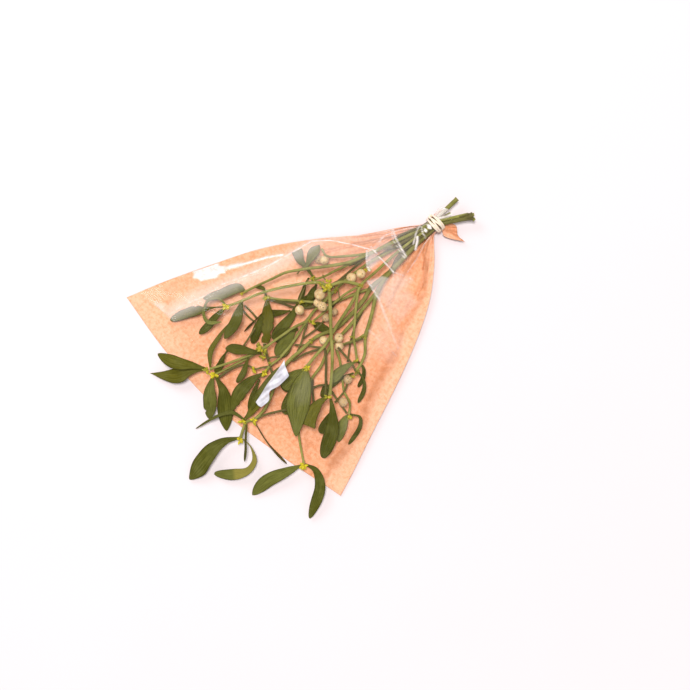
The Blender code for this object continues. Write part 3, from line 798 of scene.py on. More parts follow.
FILM_FOLDS = [
    Fold(0.9, 0.8, 0.90, [(-79, -121), (-87, -132), (-95, -147), (-100, -156)]),
    Fold(1.5, 1.0, 0.95, [(-99, -154), (-104, -162), (-113, -180)]),
    Fold(1.0, 0.9, 0.45, [(-70, -93), (-72, -103), (-76, -120), (-80, -135), (-84, -147), (-89, -160)]),
    Fold(1.3, 0.8, 0.30, [(-89, -160), (-98, -180), (-100, -195), (-108, -215), (-112, -232)]),
    Fold(0.5, 0.8, 0.60, [(-70, -93), (-58, -80), (-42, -69), (-30, -62), (-22, -57)]),
    Fold(0.8, 0.7, 0.35, [(-62, -78), (-44, -58), (-34, -44), (-26, -33)]),
    Fold(0.8, 0.9, 0.55, [(-27, -31), (-18, -36), (-8, -39), (1, -41)]),
    Fold(0.5, 0.5, 0.40, [(-26, -34), (-18, -39), (-8, -41.5), (1, -43)]),
    Fold(0.5, 0.5, 0.70, [(-28, -58), (-16, -59), (3, -59.3)]),
    Fold(0.5, 0.4, 0.30, [(3, -59.3), (11, -55), (20, -51)]),
    Fold(0.6, 0.7, 0.60, [(-28, -63), (-22, -69), (-17, -73), (-13, -74)]),
    Fold(0.7, 0.6, 0.50, [(-7, -82), (3, -84), (12, -86)]),
    Fold(1.0, 0.5, 0.25, [(12, -86), (26, -92), (40, -98), (56, -104)]),
    Fold(0.8, 0.4, 0.16, [(26, -112), (44, -111), (60, -110)]),
    Fold(0.6, 0.6, 0.50, [(-11, -12), (-9.5, -17), (-8, -20), (-3, -28)]),
    Fold(0.5, 0.5, 0.40, [(-9, -12), (-4, -15), (1, -16)]),
    Fold(0.8, 0.8, 0.98, [(-5, -21), (-2, -24), (2, -30)]),
    Fold(0.5, 0.7, 0.18, [(3, -12), (4, -20), (9, -36), (12, -50)]),
    Fold(0.7, 0.6, 0.30, [(-14, -18), (-20, -26), (-27, -41), (-25, -56)]),
    Fold(0.6, 0.5, 0.30, [(-28, -44), (-24, -50), (-22, -57)]),
    Fold(0.8, 0.5, 0.22, [(4, -60), (18, -74), (22, -82)]),
    Fold(0.9, 0.7, 0.75, [(-4, 5), (0, 11), (2, 17)]),
    Fold(0.8, 0.6, 0.60, [(-8, 5), (-9, 10), (-6, 16)]),
]
# Where the film is milky or hazy: first its crushed and blistered end, whose white is partly a painted
# glare, then the doubled and wrung places, painted reflection haze on the left slope and over a few
# leaves, and two painted glints by the band.
FILM_PATCHES = [
    Patch(2, 0.92, [(-127, -190), (-123, -191), (-121, -194), (-117, -191), (-114, -191), (-110, -184),
                    (-106, -179), (-107, -174), (-104, -170), (-108, -166), (-113, -170), (-117, -168),
                    (-120, -174), (-125, -180)]),
    Patch(4, 0.22, [(-129, -234), (-121, -230), (-116, -234), (-119, -241), (-128, -243)]),
    Patch(3, 0.26, [(-27, -60), (-20, -59), (-13, -60), (-13, -74), (-17, -73), (-22, -69), (-27, -64)]),
    Patch(2, 0.22, [(4, -66), (-2, -70), (-7, -82), (8, -86), (12, -86)]),
    Patch(6, 0.13, [(-24, -42), (2, -41), (3, -59), (-26, -58)]),
    Patch(9, 0.03, [(-30, -20), (-8, -14), (2, -40), (-26, -44)]),
    # Painted reflection haze on the left slope of the film.
    Patch(9, 0.19, [(-70, -90), (-60, -84), (-60, -100), (-73, -140), (-88, -180), (-97, -212),
                    (-106, -236), (-120, -240), (-112, -205), (-98, -170), (-84, -135), (-74, -105)]),
    Patch(16, 0.10, [(-62, -80), (-26, -56), (-28, -74), (-58, -112), (-74, -128)]),
    Patch(8, 0.14, [(6, -56), (19, -51), (23, -82), (8, -86)]),
    Patch(5, 0.12, [(23, -60), (38, -62), (40, -90), (14, -84)]),
    Patch(8, 0.07, [(30, -90), (56, -94), (62, -118), (50, -124), (34, -110)]),
    Patch(2, 0.40, [(-11, 4), (-4, 4), (-3.5, 17), (-7, 17.5), (-11, 12)]),
    # Faint painted reflection over three leaves.
    Patch(4, 0.02, [(31, -147), (39, -143), (42, -158), (37, -171), (31, -164)]),
    Patch(6, 0.025, [(14, -180), (25, -181), (34, -197), (29, -206), (17, -199)]),
    Patch(4, 0.02, [(68, -179), (75, -183), (77, -192), (74, -193), (69, -186)]),
    Patch(5, 0.09, [(-12, -14), (-30, -36), (-62, -80), (-42, -66), (-24, -50), (-15, -30)]),
    # Two painted glints by the band.
    Patch(1.2, 0.95, [(-7.5, -6), (-4, -4.8), (-1.5, -6.5), (-4, -8.2)]),
    Patch(1.0, 0.90, [(-6.2, -11), (-4, -10.2), (-2, -11.5), (-4.5, -12.6)]),
]

film_grid = net_points(FILM_NET, 225, 170)
across_film = np.linspace(0, 1, film_grid.shape[1])[None, :]
wrung = np.sin(2 * math.pi * (FILM_PLEATS * across_film + 1.4 * rumple(film_grid, 26, 8)))
film_lift = 0.5 * from_tie(film_grid, 45) * wrung
film_lift += 1.3 * rumple(film_grid, 34, 11) + 0.5 * rumple(film_grid, 13, 12)
film_milk_and_glare = np.zeros(film_grid.shape[:2])
for fold in FILM_FOLDS:
    gap = away_from(fold.route, film_grid) / fold.width
    film_lift += fold.height * np.maximum(0, 1.6 - gap)
    # Fold milk: partly real whitening, partly painted highlight.
    folded_milk_and_glare = fold.mark * np.exp(-gap**2) * (0.92 + 0.8 * rumple(film_grid, 4, 9))
    film_milk_and_glare = np.maximum(film_milk_and_glare, folded_milk_and_glare)
for patch in FILM_PATCHES:
    film_milk_and_glare = np.maximum(film_milk_and_glare, patch.amount * within(patch, film_grid))
crushed_end = within(FILM_PATCHES[0], film_grid)
blister = rumple(film_grid, 2.4, 14)
film_lift += 1.1 * crushed_end * np.abs(blister)
film_milk_and_glare *= 1 - crushed_end * (blister < -0.12) * 0.4
film_lift *= 1 - under_band(film_grid, 11)
film_grid[..., 2] = np.maximum(film_grid[..., 2] + film_lift, FILM_LOWEST)
film_front = sheet_piece("film_front", film_grid, FILM_THICKNESS, film)
paint(film_front, "milk", film_milk_and_glare)
film_front.visible_shadow = False
print("film", len(film_front.data.polygons), "faces")

# %% [markdown]
# The curl is a strip that tore and rolled up at the mouth. It is a sheet too, from a net of its own that
# leans to the left, towards the light. Its white is a painted highlight: milk all over it, in a greyer,
# bluish white of its own, stands in for the glare it throws back.

# %% The torn curl
CURL_NET = [
    [(1, -231, 31), (3, -231.3, 33), (5.5, -231.3, 34.5), (8, -230.5, 34.5)],
    [(-1, -222, 32), (1.5, -222.5, 34), (5, -222.5, 35.5), (8.2, -221, 36)],
    [(-3, -214.5, 33), (-1, -215, 35), (1, -215, 36.5), (3, -215, 37)],
    [(-4.5, -206, 34), (-2, -206, 36), (1.5, -206, 37.5), (5, -206, 38.5)],
    [(-6.2, -196, 35), (-3.5, -197, 37), (1, -198, 39), (5.2, -198, 40)],
    [(-8.5, -185.5, 36), (-4.5, -188.5, 38), (0.5, -190.5, 39.5), (5, -192.5, 40.5)],
]
curl_grid = net_points(CURL_NET, 60, 22)
curl_grid[..., 2] += 0.5 * rumple(curl_grid, 7, 20)
film_curl = sheet_piece("film_curl", curl_grid, FILM_THICKNESS, torn_film)
# Painted highlight: the curl is milky all over in place of its glare.
paint(film_curl, "milk", 0.82 + 0.7 * rumple(curl_grid * [2.2, 0.6, 1], 6, 21))
settle(film_curl, "clear_film")
settle(film_front, "clear_film", "clear_film_front")
print("curl", len(film_curl.data.polygons), "faces")

# %% [markdown]
# ## Tubes by Geometry Nodes
# Stems, twigs and the elastic band are all tubes along a path. One tree sweeps a circle along a curve,
# keeps the place round the ring and the run along the curve as an attribute, roughens the skin a little
# with noise, and puts a second finish on the cut ends.

# %% The tube tree
YOUNG_RADIUS = 1.2
OLDER_BY = 1.4
LUMPS_PER_METRE = 420.0


class Tree(Graph):
    """A Geometry Nodes tree under construction, from a geometry and named inputs to a geometry."""

    def __init__(self, name, **inputs):
        super().__init__(bpy.data.node_groups.new(name, "GeometryNodeTree"))
        for way in ("INPUT", "OUTPUT"):
            self.tree.interface.new_socket("Geometry", in_out=way, socket_type="NodeSocketGeometry")
        for label, kind in inputs.items():
            self.tree.interface.new_socket(label, in_out="INPUT", socket_type="NodeSocket" + kind)
        self.given = self.add("NodeGroupInput")

    def stored(self, geometry, name, kind, value):
        """Keeps a value on each point of a geometry, under a name that can be read back."""
        inputs = {"Geometry": geometry, "Name": name, "Value": value}
        settings = {"data_type": kind, "domain": "POINT"}
        return self.add("GeometryNodeStoreNamedAttribute", settings, inputs)[0]

    def read(self, name, kind):
        """A value that was kept on each point."""
        return self.add("GeometryNodeInputNamedAttribute", {"data_type": kind}, {"Name": name})[0]

    def dressed(self, geometry, material, **where):
        """The geometry with this material, on the faces of a Selection if one is given."""
        inputs = {"Geometry": geometry, "Material": material, **where}
        return self.add("GeometryNodeSetMaterial", {}, inputs)[0]

    def real(self, geometry):
        """Copies and curves turned into one mesh of their own, with the Skin material."""
        whole = self.add("GeometryNodeRealizeInstances", {}, {0: geometry})[0]
        return self.dressed(whole, self.given["Skin"])

    def ended(self, geometry):
        """The finished tree, which gives back this geometry."""
        self.tree.links.new(geometry.socket, self.add("NodeGroupOutput").node.inputs["Geometry"])
        return self.tree


def tube_tree():
    """A round tube along each curve, with a cut face at both ends."""
    graph = Tree("tube_along_path", Sides="Int", Roughness="Float", Streak="Float", Age="Float",
                 Skin="Material", Cut="Material")
    given = graph.given
    run = graph.add("GeometryNodeSplineParameter")["Length"]
    radius = graph.add("GeometryNodeInputRadius")[0]
    rail = graph.stored(given["Geometry"], "run", "FLOAT", run / given["Streak"])
    age = ((radius - YOUNG_RADIUS) / OLDER_BY + given["Age"]).clamped()
    rail = graph.stored(rail, "age", "FLOAT", age)
    circle_size = {"Resolution": given["Sides"], "Radius": MILLIMETRE}
    circle = graph.add("GeometryNodeCurvePrimitiveCircle", {}, circle_size)[0]
    spot = graph.add("GeometryNodeInputPosition")[0]
    unit = graph.add("ShaderNodeVectorMath", {"operation": "NORMALIZE"}, {0: spot})[0]
    ring = graph.stored(circle, "ring", "FLOAT_VECTOR", unit)
    sweep = {"Curve": rail, "Profile Curve": ring, "Scale": radius, "Fill Caps": True}
    swept = graph.add("GeometryNodeCurveToMesh", {}, sweep)[0]
    apart = graph.add("ShaderNodeSeparateXYZ", {}, {0: graph.read("ring", "FLOAT_VECTOR")})
    along = graph.read("run", "FLOAT")
    grain = graph.add("ShaderNodeCombineXYZ", {}, {"X": apart["X"], "Y": apart["Y"], "Z": along})[0]
    swept = graph.stored(swept, "bark", "FLOAT_VECTOR", grain)
    lumps = graph.add("ShaderNodeTexNoise", {}, {"Scale": LUMPS_PER_METRE, "Detail": 2.0})["Fac"]
    outward = graph.add("GeometryNodeInputNormal")[0]
    height = (lumps - 0.5) * given["Roughness"]
    push = graph.add("ShaderNodeVectorMath", {"operation": "SCALE"}, {0: outward, "Scale": height})[0]
    swept = graph.add("GeometryNodeSetPosition", {}, {"Geometry": swept, "Offset": push})[0]
    whole = graph.real(swept)
    corners = graph.add("GeometryNodeInputMeshFaceNeighbors")["Vertex Count"]
    more = {"data_type": "INT", "operation": "GREATER_THAN"}
    cap = graph.add("FunctionNodeCompare", more, {2: corners, 3: 4})[0]
    return graph.ended(graph.dressed(whole, given["Cut"], Selection=cap))


def baked(name, source, tree, values):
    """What the tree makes of a curve or mesh, as a plain mesh object at the origin."""
    modifier = source.modifiers.new("nodes", "NODES")
    modifier.node_group = tree
    for item in tree.interface.items_tree:
        if item.in_out == "INPUT" and item.name in values:
            modifier[item.identifier] = values[item.name]
    scene = bpy.context.evaluated_depsgraph_get()
    made = source.evaluated_get(scene)
    mesh = bpy.data.meshes.new_from_object(made, preserve_all_data_layers=True, depsgraph=scene)
    bpy.data.objects.remove(source)
    mesh.name = name
    mesh.shade_smooth()
    return linked(name, mesh)


def rail_of(paths, closed=False):
    """A curve object of one line for each path, given as (point, radius) pairs in millimetres."""
    curve = bpy.data.curves.new("rail", "CURVE")
    curve.dimensions = "3D"
    for path in paths:
        line = curve.splines.new("POLY")
        line.points.add(len(path) - 1)
        line.use_cyclic_u = closed
        for spot, (point, radius) in zip(line.points, path):
            spot.co = (*place(point), 1)
            spot.radius = radius
    return linked("rail", curve)


TUBE = tube_tree()
print("tube tree with", len(TUBE.nodes), "nodes")

# %% [markdown]
# ## Stems and twigs
# Mistletoe grows by forking: every shoot ends in a swollen joint, and from it two or three more leave at
# wide angles. A stem is widest at its cut end and swells at each joint it passes. The lists give each
# one's radius at its start and tip, and the route of its middle.

# %% Stem routes
Stem = namedtuple("Stem", "radius route flare", defaults=(0.0,))

STEMS = {
    "stem_right": Stem((2.7, 1.2), [
        (16.5, 29.2, 11.5), (9, 17, 11), (2.2, 6, 9.8), (-0.3, 0, 9.4), (-1, -12, 9.6), (-1, -28, 11),
        (0, -45, 13), (0.5, -58, 14), (2, -70, 15), (5, -80, 16), (9, -88, 17), (15, -97, 18),
        (21, -107, 18), (26, -116, 18), (31, -122, 18.5), (38, -129, 18.5), (42, -137, 18),
        (44, -146, 17)], 0.45),
    "stem_middle": Stem((1.4, 1.1), [
        (12, 27, 13.5), (6, 17, 13.6), (-0.5, 6, 13.3), (-2.9, 0, 13.0), (-4, -10, 13.2),
        (-6.5, -30, 15.5), (-8, -50, 18.5), (-8.5, -70, 21.5), (-9, -89, 24), (-2.5, -100, 25.5),
        (5, -109, 25.5), (12, -117, 25), (20, -126, 24), (30, -133, 22), (38, -139, 20)]),
    "stem_left": Stem((2.0, 1.1), [
        (-5, 30, 11.5), (-5.2, 15, 11), (-5.6, 0, 10.0), (-8.5, -14, 10.6), (-14, -32, 13),
        (-19.5, -48, 16), (-24, -62, 19), (-31, -81, 23), (-38, -92, 24.5), (-45, -102, 25),
        (-52, -111, 25), (-57, -118, 24), (-65, -130, 22), (-70, -144, 19), (-75, -158, 16),
        (-78.5, -169, 13)], 0.12),
    "stem_low": Stem((1.5, 1.3), [
        (0.5, 17, 6.5), (-1.5, 9, 6.0), (-3.7, 0, 5.6), (-5, -14, 6.2), (-9.5, -34, 8.5), (-14.5, -52, 11),
        (-18.5, -68, 13), (-21, -85, 14), (-22.5, -105, 14), (-22, -120, 13.5), (-22, -135, 13),
        (-20, -147, 12.5), (-17, -160, 12), (-14, -175, 12), (-13, -190, 12), (-14, -198, 12),
        (-13, -207, 12)]),
    "twig_far_left": Stem((1.3, 0.9), [
        (-24, -62, 19), (-32, -73, 19), (-41, -84, 18), (-47, -90.5, 15.5), (-52, -92.5, 13),
        (-58, -91, 9.5)]),
    "twig_inner_left": Stem((1.3, 1.0), [
        (-24, -62, 19), (-27.5, -75, 17.5), (-32, -88, 18), (-35.5, -98, 19), (-38, -107, 20),
        (-42, -115, 20.5)]),
    "twig_sweeping_left": Stem((1.6, 1.2), [
        (-9, -89, 24), (-16, -93, 27), (-23, -99, 30), (-29, -110, 32), (-37, -114.5, 34), (-45, -124, 34),
        (-54, -137, 33), (-62, -150, 31), (-69, -164, 29), (-74.5, -178, 26), (-80, -190, 23)]),
    "twig_sweeping_right": Stem((1.7, 1.4), [
        (-29, -110, 32), (-18, -119, 34), (-7, -129, 35), (4, -139, 35), (16, -149, 34), (28, -161, 32),
        (36, -170, 30), (43, -178, 28)]),
    "twig_middle": Stem((1.6, 1.4), [
        (-9, -89, 24), (-4.5, -102, 21.5), (-1, -115, 20.5), (1.5, -127, 20.5), (4.5, -138, 21.5),
        (7.5, -150, 22.5), (8.5, -163, 23), (10, -177, 22)]),
    "twig_thin_middle": Stem((1.1, 1.0), [
        (-9, -89, 24), (-13, -103, 19.5), (-14.5, -118, 18), (-15, -132, 17), (-16, -145, 16.5)]),
    "twig_long_middle": Stem((2.1, 1.3), [
        (0.5, -58, 14), (-0.5, -72, 12.5), (-1, -84, 11.5), (2, -95, 11), (3.5, -108, 10.5),
        (4, -122, 10.5), (3, -134, 11), (-2, -146, 12), (-4, -155, 13), (-4.5, -170, 13.5), (-5, -186, 13),
        (-1, -203, 12.5), (6, -217, 12), (11, -230, 12), (11.5, -243, 12), (8, -250.5, 12), (11, -258, 11),
        (15, -265, 10)]),
    "twig_long_right": Stem((1.8, 1.0), [
        (5, -80, 16), (6.5, -92, 13.5), (8, -105, 12.5), (10, -118, 12), (11, -131, 11.5),
        (11, -144, 11.5), (14, -155, 11.5), (18.5, -166, 11.5), (21, -180, 11.5), (27, -197, 11),
        (38, -213, 10), (50, -224.5, 9.5), (62, -233, 9), (72, -239.5, 8.5)]),
    "twig_short_middle": Stem((1.4, 1.0), [
        (-1, -84, 11.5), (-5.5, -94, 10.5), (-10.5, -106, 9.5), (-14, -117, 8.5), (-17, -130, 7.5)]),
    "twig_lower_right": Stem((1.4, 1.0), [
        (26, -116, 18), (24, -126, 15), (19.5, -136, 13.5), (16.5, -144, 13), (25, -149, 11),
        (34, -155, 10), (43, -162, 10), (51, -167.5, 11), (61, -170.5, 12), (68, -178, 12)]),
    "twig_lower_left": Stem((1.3, 1.1), [
        (-20, -147, 12.5), (-24, -160, 18), (-26.5, -175, 19.5), (-29, -190, 19), (-33, -204, 18),
        (-38, -216, 17), (-44, -229, 16), (-50, -241, 15)]),
    "twig_lower_middle": Stem((1.1, 1.0), [
        (-29, -190, 19), (-31.5, -203, 14), (-35, -216, 12.5), (-39, -228, 12), (-43, -241, 12)]),
    "twig_crossing_left": Stem((1.2, 1.0), [
        (-22, -120, 13.5), (-27, -129, 16), (-38, -139, 16.5), (-49, -149, 17), (-60, -157.5, 17.5)]),
}
# Thin twigs deep in the bunch, too fine to have a solid of their own. A few of them follow dark lines that
# are partly shadows, so they stand partly for painted shade.
FINE_TWIGS = [
    Stem((1.1, 0.8), [(-36, -139.5, 14), (-44, -147, 13), (-52, -153.5, 12.5), (-60, -158, 14)]),
    Stem((1.0, 0.8), [(-70, -178, 8), (-62, -177.5, 8), (-54, -178, 9)]),
    Stem((0.9, 0.7), [(-68, -182, 9), (-60, -182.5, 9), (-52, -181.5, 10)]),
    Stem((1.1, 0.8), [(-18, -148, 14), (-14, -156, 13), (-10, -163, 11), (-6, -172, 10)]),
    Stem((1.1, 0.8), [(8, -153, 17), (2, -158, 15), (-5, -163, 12), (-12, -170, 9)]),
    Stem((1.2, 0.9), [(7, -156, 16), (3, -163, 14), (0, -170, 12), (-3, -182, 11)]),
    Stem((1.3, 1.0), [(9, -152, 17), (17, -158, 16), (28, -169, 14), (40, -181, 12)]),
    Stem((1.0, 0.8), [(47, -160, 13), (50, -167, 12), (51.5, -180, 10)]),
    Stem((1.0, 0.8), [(42, -175, 14), (52, -177, 13), (66, -179, 12)]),
    Stem((1.1, 0.9), [(33, -176, 13), (30, -180, 12), (28, -185, 11)]),
    Stem((1.1, 0.9), [(22, -180, 12), (28, -186, 11), (38, -194, 9)]),
    Stem((1.1, 0.9), [(25, -217, 14), (20, -225, 13), (15, -234, 12.5), (12, -243, 12)]),
    Stem((1.1, 0.8), [(17, -143, 20), (26, -143.5, 20), (36, -144, 19.5), (44, -146.5, 18)]),
    Stem((1.4, 1.0), [(-32, -189, 16), (-24, -194, 14), (-15, -199, 12.5), (-8, -202.5, 12)]),
    Stem((1.0, 0.8), [(-14, -187, 13), (-17, -191, 14), (-21, -197, 14)]),
    Stem((0.9, 0.7), [(-14, -200, 12), (-18, -206, 12), (-22, -213, 12)]),
    Stem((0.9, 0.7), [(-48, -186, 14), (-46, -195, 12), (-44, -204, 10)]),
    Stem((1.0, 0.8), [(-33, -208, 13), (-37, -221, 11), (-40, -232, 10), (-43, -241, 12)]),
    Stem((1.0, 0.8), [(27, -121, 18), (24, -128, 16.5), (20, -136, 15), (18, -143, 14)]),
    Stem((0.6, 0.4), [(-40, -107, 20), (-36, -108.5, 22), (-30, -106, 27)]),
    Stem((0.6, 0.4), [(-25, -108, 28), (-20, -107, 24), (-14, -111, 20)]),
    Stem((0.8, 0.6), [(-46, -120, 20), (-42, -130, 18), (-38, -139, 17)]),
    Stem((0.9, 0.7), [(-24, -90, 13), (-25.5, -105, 12), (-28, -120, 10), (-34, -134, 9)]),
    Stem((0.9, 0.7), [(-24, -63, 18.5), (-26, -76, 12), (-30, -84, 10)]),
    Stem((1.2, 0.8), [(-39, -241, 11), (-37, -229, 12), (-32.5, -218, 13), (-27.5, -213.5, 13),
                      (-21.5, -212, 12.5)]),
    Stem((0.8, 0.5), [(-56.5, -112.5, 17.5), (-57.5, -117, 17.5), (-57, -123.5, 17)]),
]
# The heel of the right stem, where it was torn off its branch, and shoots that end inside the band.
HEELS = [
    Stem((1.8, 1.1), [(12.5, 25, 11.5), (14.6, 28.8, 12), (16.2, 31, 12.5)]),
    Stem((1.7, 1.0), [(13.5, 24, 11.5), (17.5, 27.4, 12), (20.4, 27.4, 12)]),
]
SHOOTS = [
    Stem((1.8, 1.3), [(-6.8, -3, 7.4), (-10.5, -16, 8.5), (-16.2, -32, 10), (-19.5, -46, 13),
                      (-24, -62, 18)]),
    Stem((1.9, 1.4), [(-5.4, -3, 7.2), (-7.6, -18, 8.4), (-11.8, -34, 10), (-15, -50, 10.8),
                      (-18.5, -66, 12)]),
    Stem((2.3, 1.6), [(-2.5, -3, 8.0), (-3, -18, 8.6), (-4.2, -34, 10), (-3.5, -48, 12), (0.2, -58, 13.6)]),
    Stem((1.7, 1.4), [(0.6, -3, 6.8), (0.2, -16, 8), (-0.5, -30, 9.4), (0.5, -46, 12.5)]),
    Stem((2.0, 1.5), [(-4.2, -3, 10.2), (-6.3, -15, 10.4), (-9.6, -30, 12.5), (-13, -42, 14.5),
                      (-19.5, -50, 16)]),
    Stem((1.6, 1.2), [(-1.6, -4, 11.8), (-2.6, -16, 12), (-3.6, -30, 13), (-7.5, -44, 17)]),
    Stem((1.3, 0.9), [(-9, -12, 12), (-14.5, -24, 13.5), (-17.5, -33, 14.5), (-16.5, -42, 14)]),
    Stem((1.3, 0.9), [(-24, -64, 17), (-25, -80, 14), (-26, -96, 13), (-27.5, -112, 12)]),
    Stem((1.2, 0.9), [(-21, -84, 13), (-25.5, -98, 11), (-31, -116, 10), (-37, -134, 9)]),
    Stem((1.0, 0.8), [(-1, -86, 9), (-8, -98, 7), (-13, -112, 6), (-24, -128, 6)]),
    Stem((1.0, 0.8), [(9, -104, 9), (14, -118, 8), (22, -132, 8), (33, -146, 8)]),
    Stem((1.0, 0.8), [(-14, -116, 7), (-10, -132, 7), (-9, -146, 8), (-11, -160, 9)]),
    Stem((1.3, 1.0), [(-22, -128, 9), (-30, -140, 9), (-38, -147, 10), (-47, -151.5, 11), (-58, -158, 14)]),
    Stem((0.9, 0.8), [(8.4, 19.5, 14.6), (10.2, 23, 15), (12.1, 27.6, 15.2)]),
]

print("routes of", len(STEMS), "stems and twigs that have solids, the right one through",
      len(STEMS["stem_right"].route), "points")

# %% [markdown]
# The routes are read as smooth curves with a point every millimetre or two. A joint is found wherever
# another stem starts on this one, and the stem swells there, as it does at its tip.

# %% Stems
STEM_STEP = 1.5
JOINT_REACH = 3.0
JOINT_SWELLING = 0.28
JOINT_FROM_END = 4
TIP_REACH = 2.2
TIP_SWELLING = 0.35
FLARE_LENGTH = 4.0
LUMP_SIZE = 5
LUMP_SHARE = 0.06
CUT_WOOD = (0.330, 0.290, 0.120), (0.520, 0.470, 0.230)

starts = [Vector(stem.route[0]) for stem in STEMS.values()]


def near(distance, reach):
    """1 at no distance, falling smoothly to 0 past the reach."""
    return math.exp(-(distance / reach) ** 2)


def grown(stem):
    """The stem's points and radii, flared at the cut and swollen at its joints."""
    rough = path_of(stem.route, 12 * len(stem.route))
    count = max(8, round(length_of(rough) / STEM_STEP))
    path = path_of(stem.route, count)
    ends = path[0], path[-1]
    joints = [start for start in starts if min((start - end).length for end in ends) > JOINT_FROM_END]
    run = 0.0
    for i, point in enumerate(path):
        run += (point - path[i - 1]).length if i else 0
        radius = mix(*stem.radius, i / count) * (1 + stem.flare * math.exp(-run / FLARE_LENGTH))
        radius *= 1 + LUMP_SHARE * noise.noise(point / LUMP_SIZE)
        to_joint = min([(point - joint).length for joint in joints], default=math.inf)
        radius *= 1 + JOINT_SWELLING * near(to_joint, JOINT_REACH)
        radius *= 1 + TIP_SWELLING * near((point - path[-1]).length, TIP_REACH)
        yield point, radius


def tube_values(skin, cut, sides, roughness, streak, age):
    """What the tube tree is given, under the names of its inputs."""
    return {"Skin": skin.material, "Cut": cut.material, "Sides": sides, "Roughness": roughness,
            "Streak": streak, "Age": age}


cut_wood = Finish("cut_wood", Roughness=0.7)
cut_wood.feed(Base_Color=cut_wood.blend(cut_wood.speckle(1500, 4), *CUT_WOOD))

for name, stem in STEMS.items():
    stem_values = tube_values(bark, cut_wood, 18, 0.00030, 0.006, -0.3)
    settle(baked(name + "_bark", rail_of([list(grown(stem))]), TUBE, stem_values), "stem", name)
# The fine twigs and short shoots lie deep in the bunch; their high age gives them dark bark as painted
# shade.
bundles = {"fine_twigs": (FINE_TWIGS, 1.05), "torn_heel": (HEELS, -0.3), "short_shoots": (SHOOTS, 1.1)}
for name, (stems, age) in bundles.items():
    twig_values = tube_values(bark, cut_wood, 12, 0.00018, 0.006, age)
    settle(baked(name, rail_of([list(grown(stem)) for stem in stems]), TUBE, twig_values), "stem")
print(len(STEMS), "stems,", len(FINE_TWIGS), "fine twigs and", len(SHOOTS), "short shoots")

# %% [markdown]
# ## The elastic band
# The band goes round six times, each turn riding over the last, and its knot sits on the left. The
# same tube tree makes it, with a cream finish instead of bark.

# %% Band
TIE_CENTRE = Vector((-2.4, 0.0, 9.1))
BAND_TURNS = 6
BAND_RADIUS = 7.9
BAND_STRAND = 0.90
BAND_WEAVE = 0.28
BAND_WAVES = 1.25
BAND_SPREAD = 2.8
BAND_POINTS = 480
KNOT_PLACE = Vector((-10.6, 1.0, 9.0))
KNOT_TURNS = 1.6
KNOT_HEIGHT = 3.0
KNOT_POINTS = 60

band_path = []
for i in range(BAND_POINTS):
    turn = 2 * math.pi * BAND_TURNS * i / BAND_POINTS
    slow = turn / BAND_TURNS
    radius = BAND_RADIUS + BAND_WEAVE * math.sin(BAND_WAVES * turn + 0.5)
    sideways = BAND_SPREAD * math.cos(slow) * (1 + 0.25 * math.sin(turn)) + 0.5 * math.sin(turn + slow)
    around = Vector((radius * math.cos(turn), sideways, radius * math.sin(turn)))
    band_path.append((TIE_CENTRE + around, BAND_STRAND))
knot_path = []
for i in range(KNOT_POINTS + 1):
    turn = 2 * math.pi * KNOT_TURNS * i / KNOT_POINTS
    loop = Vector((-0.7 * math.sin(turn), 1.3 * math.cos(turn), KNOT_HEIGHT * i / KNOT_POINTS))
    knot_path.append((KNOT_PLACE + loop, BAND_STRAND * 0.9))
band_values = tube_values(rubber, rubber, 12, 0.00012, 0.004, 0.0)
band_rail = rail_of([band_path], closed=True)
settle(baked("rubber_band", band_rail, TUBE, band_values), "elastic_band", "elastic_band")
settle(baked("rubber_knot", rail_of([knot_path]), TUBE, band_values), "elastic_band")
print("band of", BAND_TURNS, "turns")

# %% [markdown]
# ## Leaves
# A mistletoe leaf is a narrow paddle, thick as card, with a blunt tip and almost no stalk. Each blade is
# swept along its own curved spine: at every station a lens-shaped ring, 24 points round, with a shallow
# channel down the middle, edges that cup a little and a gentle wave. `roll` is how many degrees the blade
# is turned about its spine at its foot and at its tip. Torn leaves have `bites` out of an edge: the side,
# the place along the blade, the depth and the length. `keep` cuts a blade off square, and `under` says
# between which shares of its length it shows its paler underside.

# %% Leaf shapes
Leaf = namedtuple("Leaf", "width roll spine keep tone under blunt bites edges warm",
                  defaults=(1.0, 0.25, (0, 0), 0.5, (), (), 0.0))

LEAF_STATIONS = 40
LEAF_SIDES = 24
LEAF_THICKNESS = 1.0
LEAF_STALK = 2.2
LEAF_CUP = 0.10
LEAF_TWIST = 7
CHANNEL_DEPTH = 0.22
CHANNEL_WIDTH = 0.13
RIPPLE_HEIGHT = 0.55

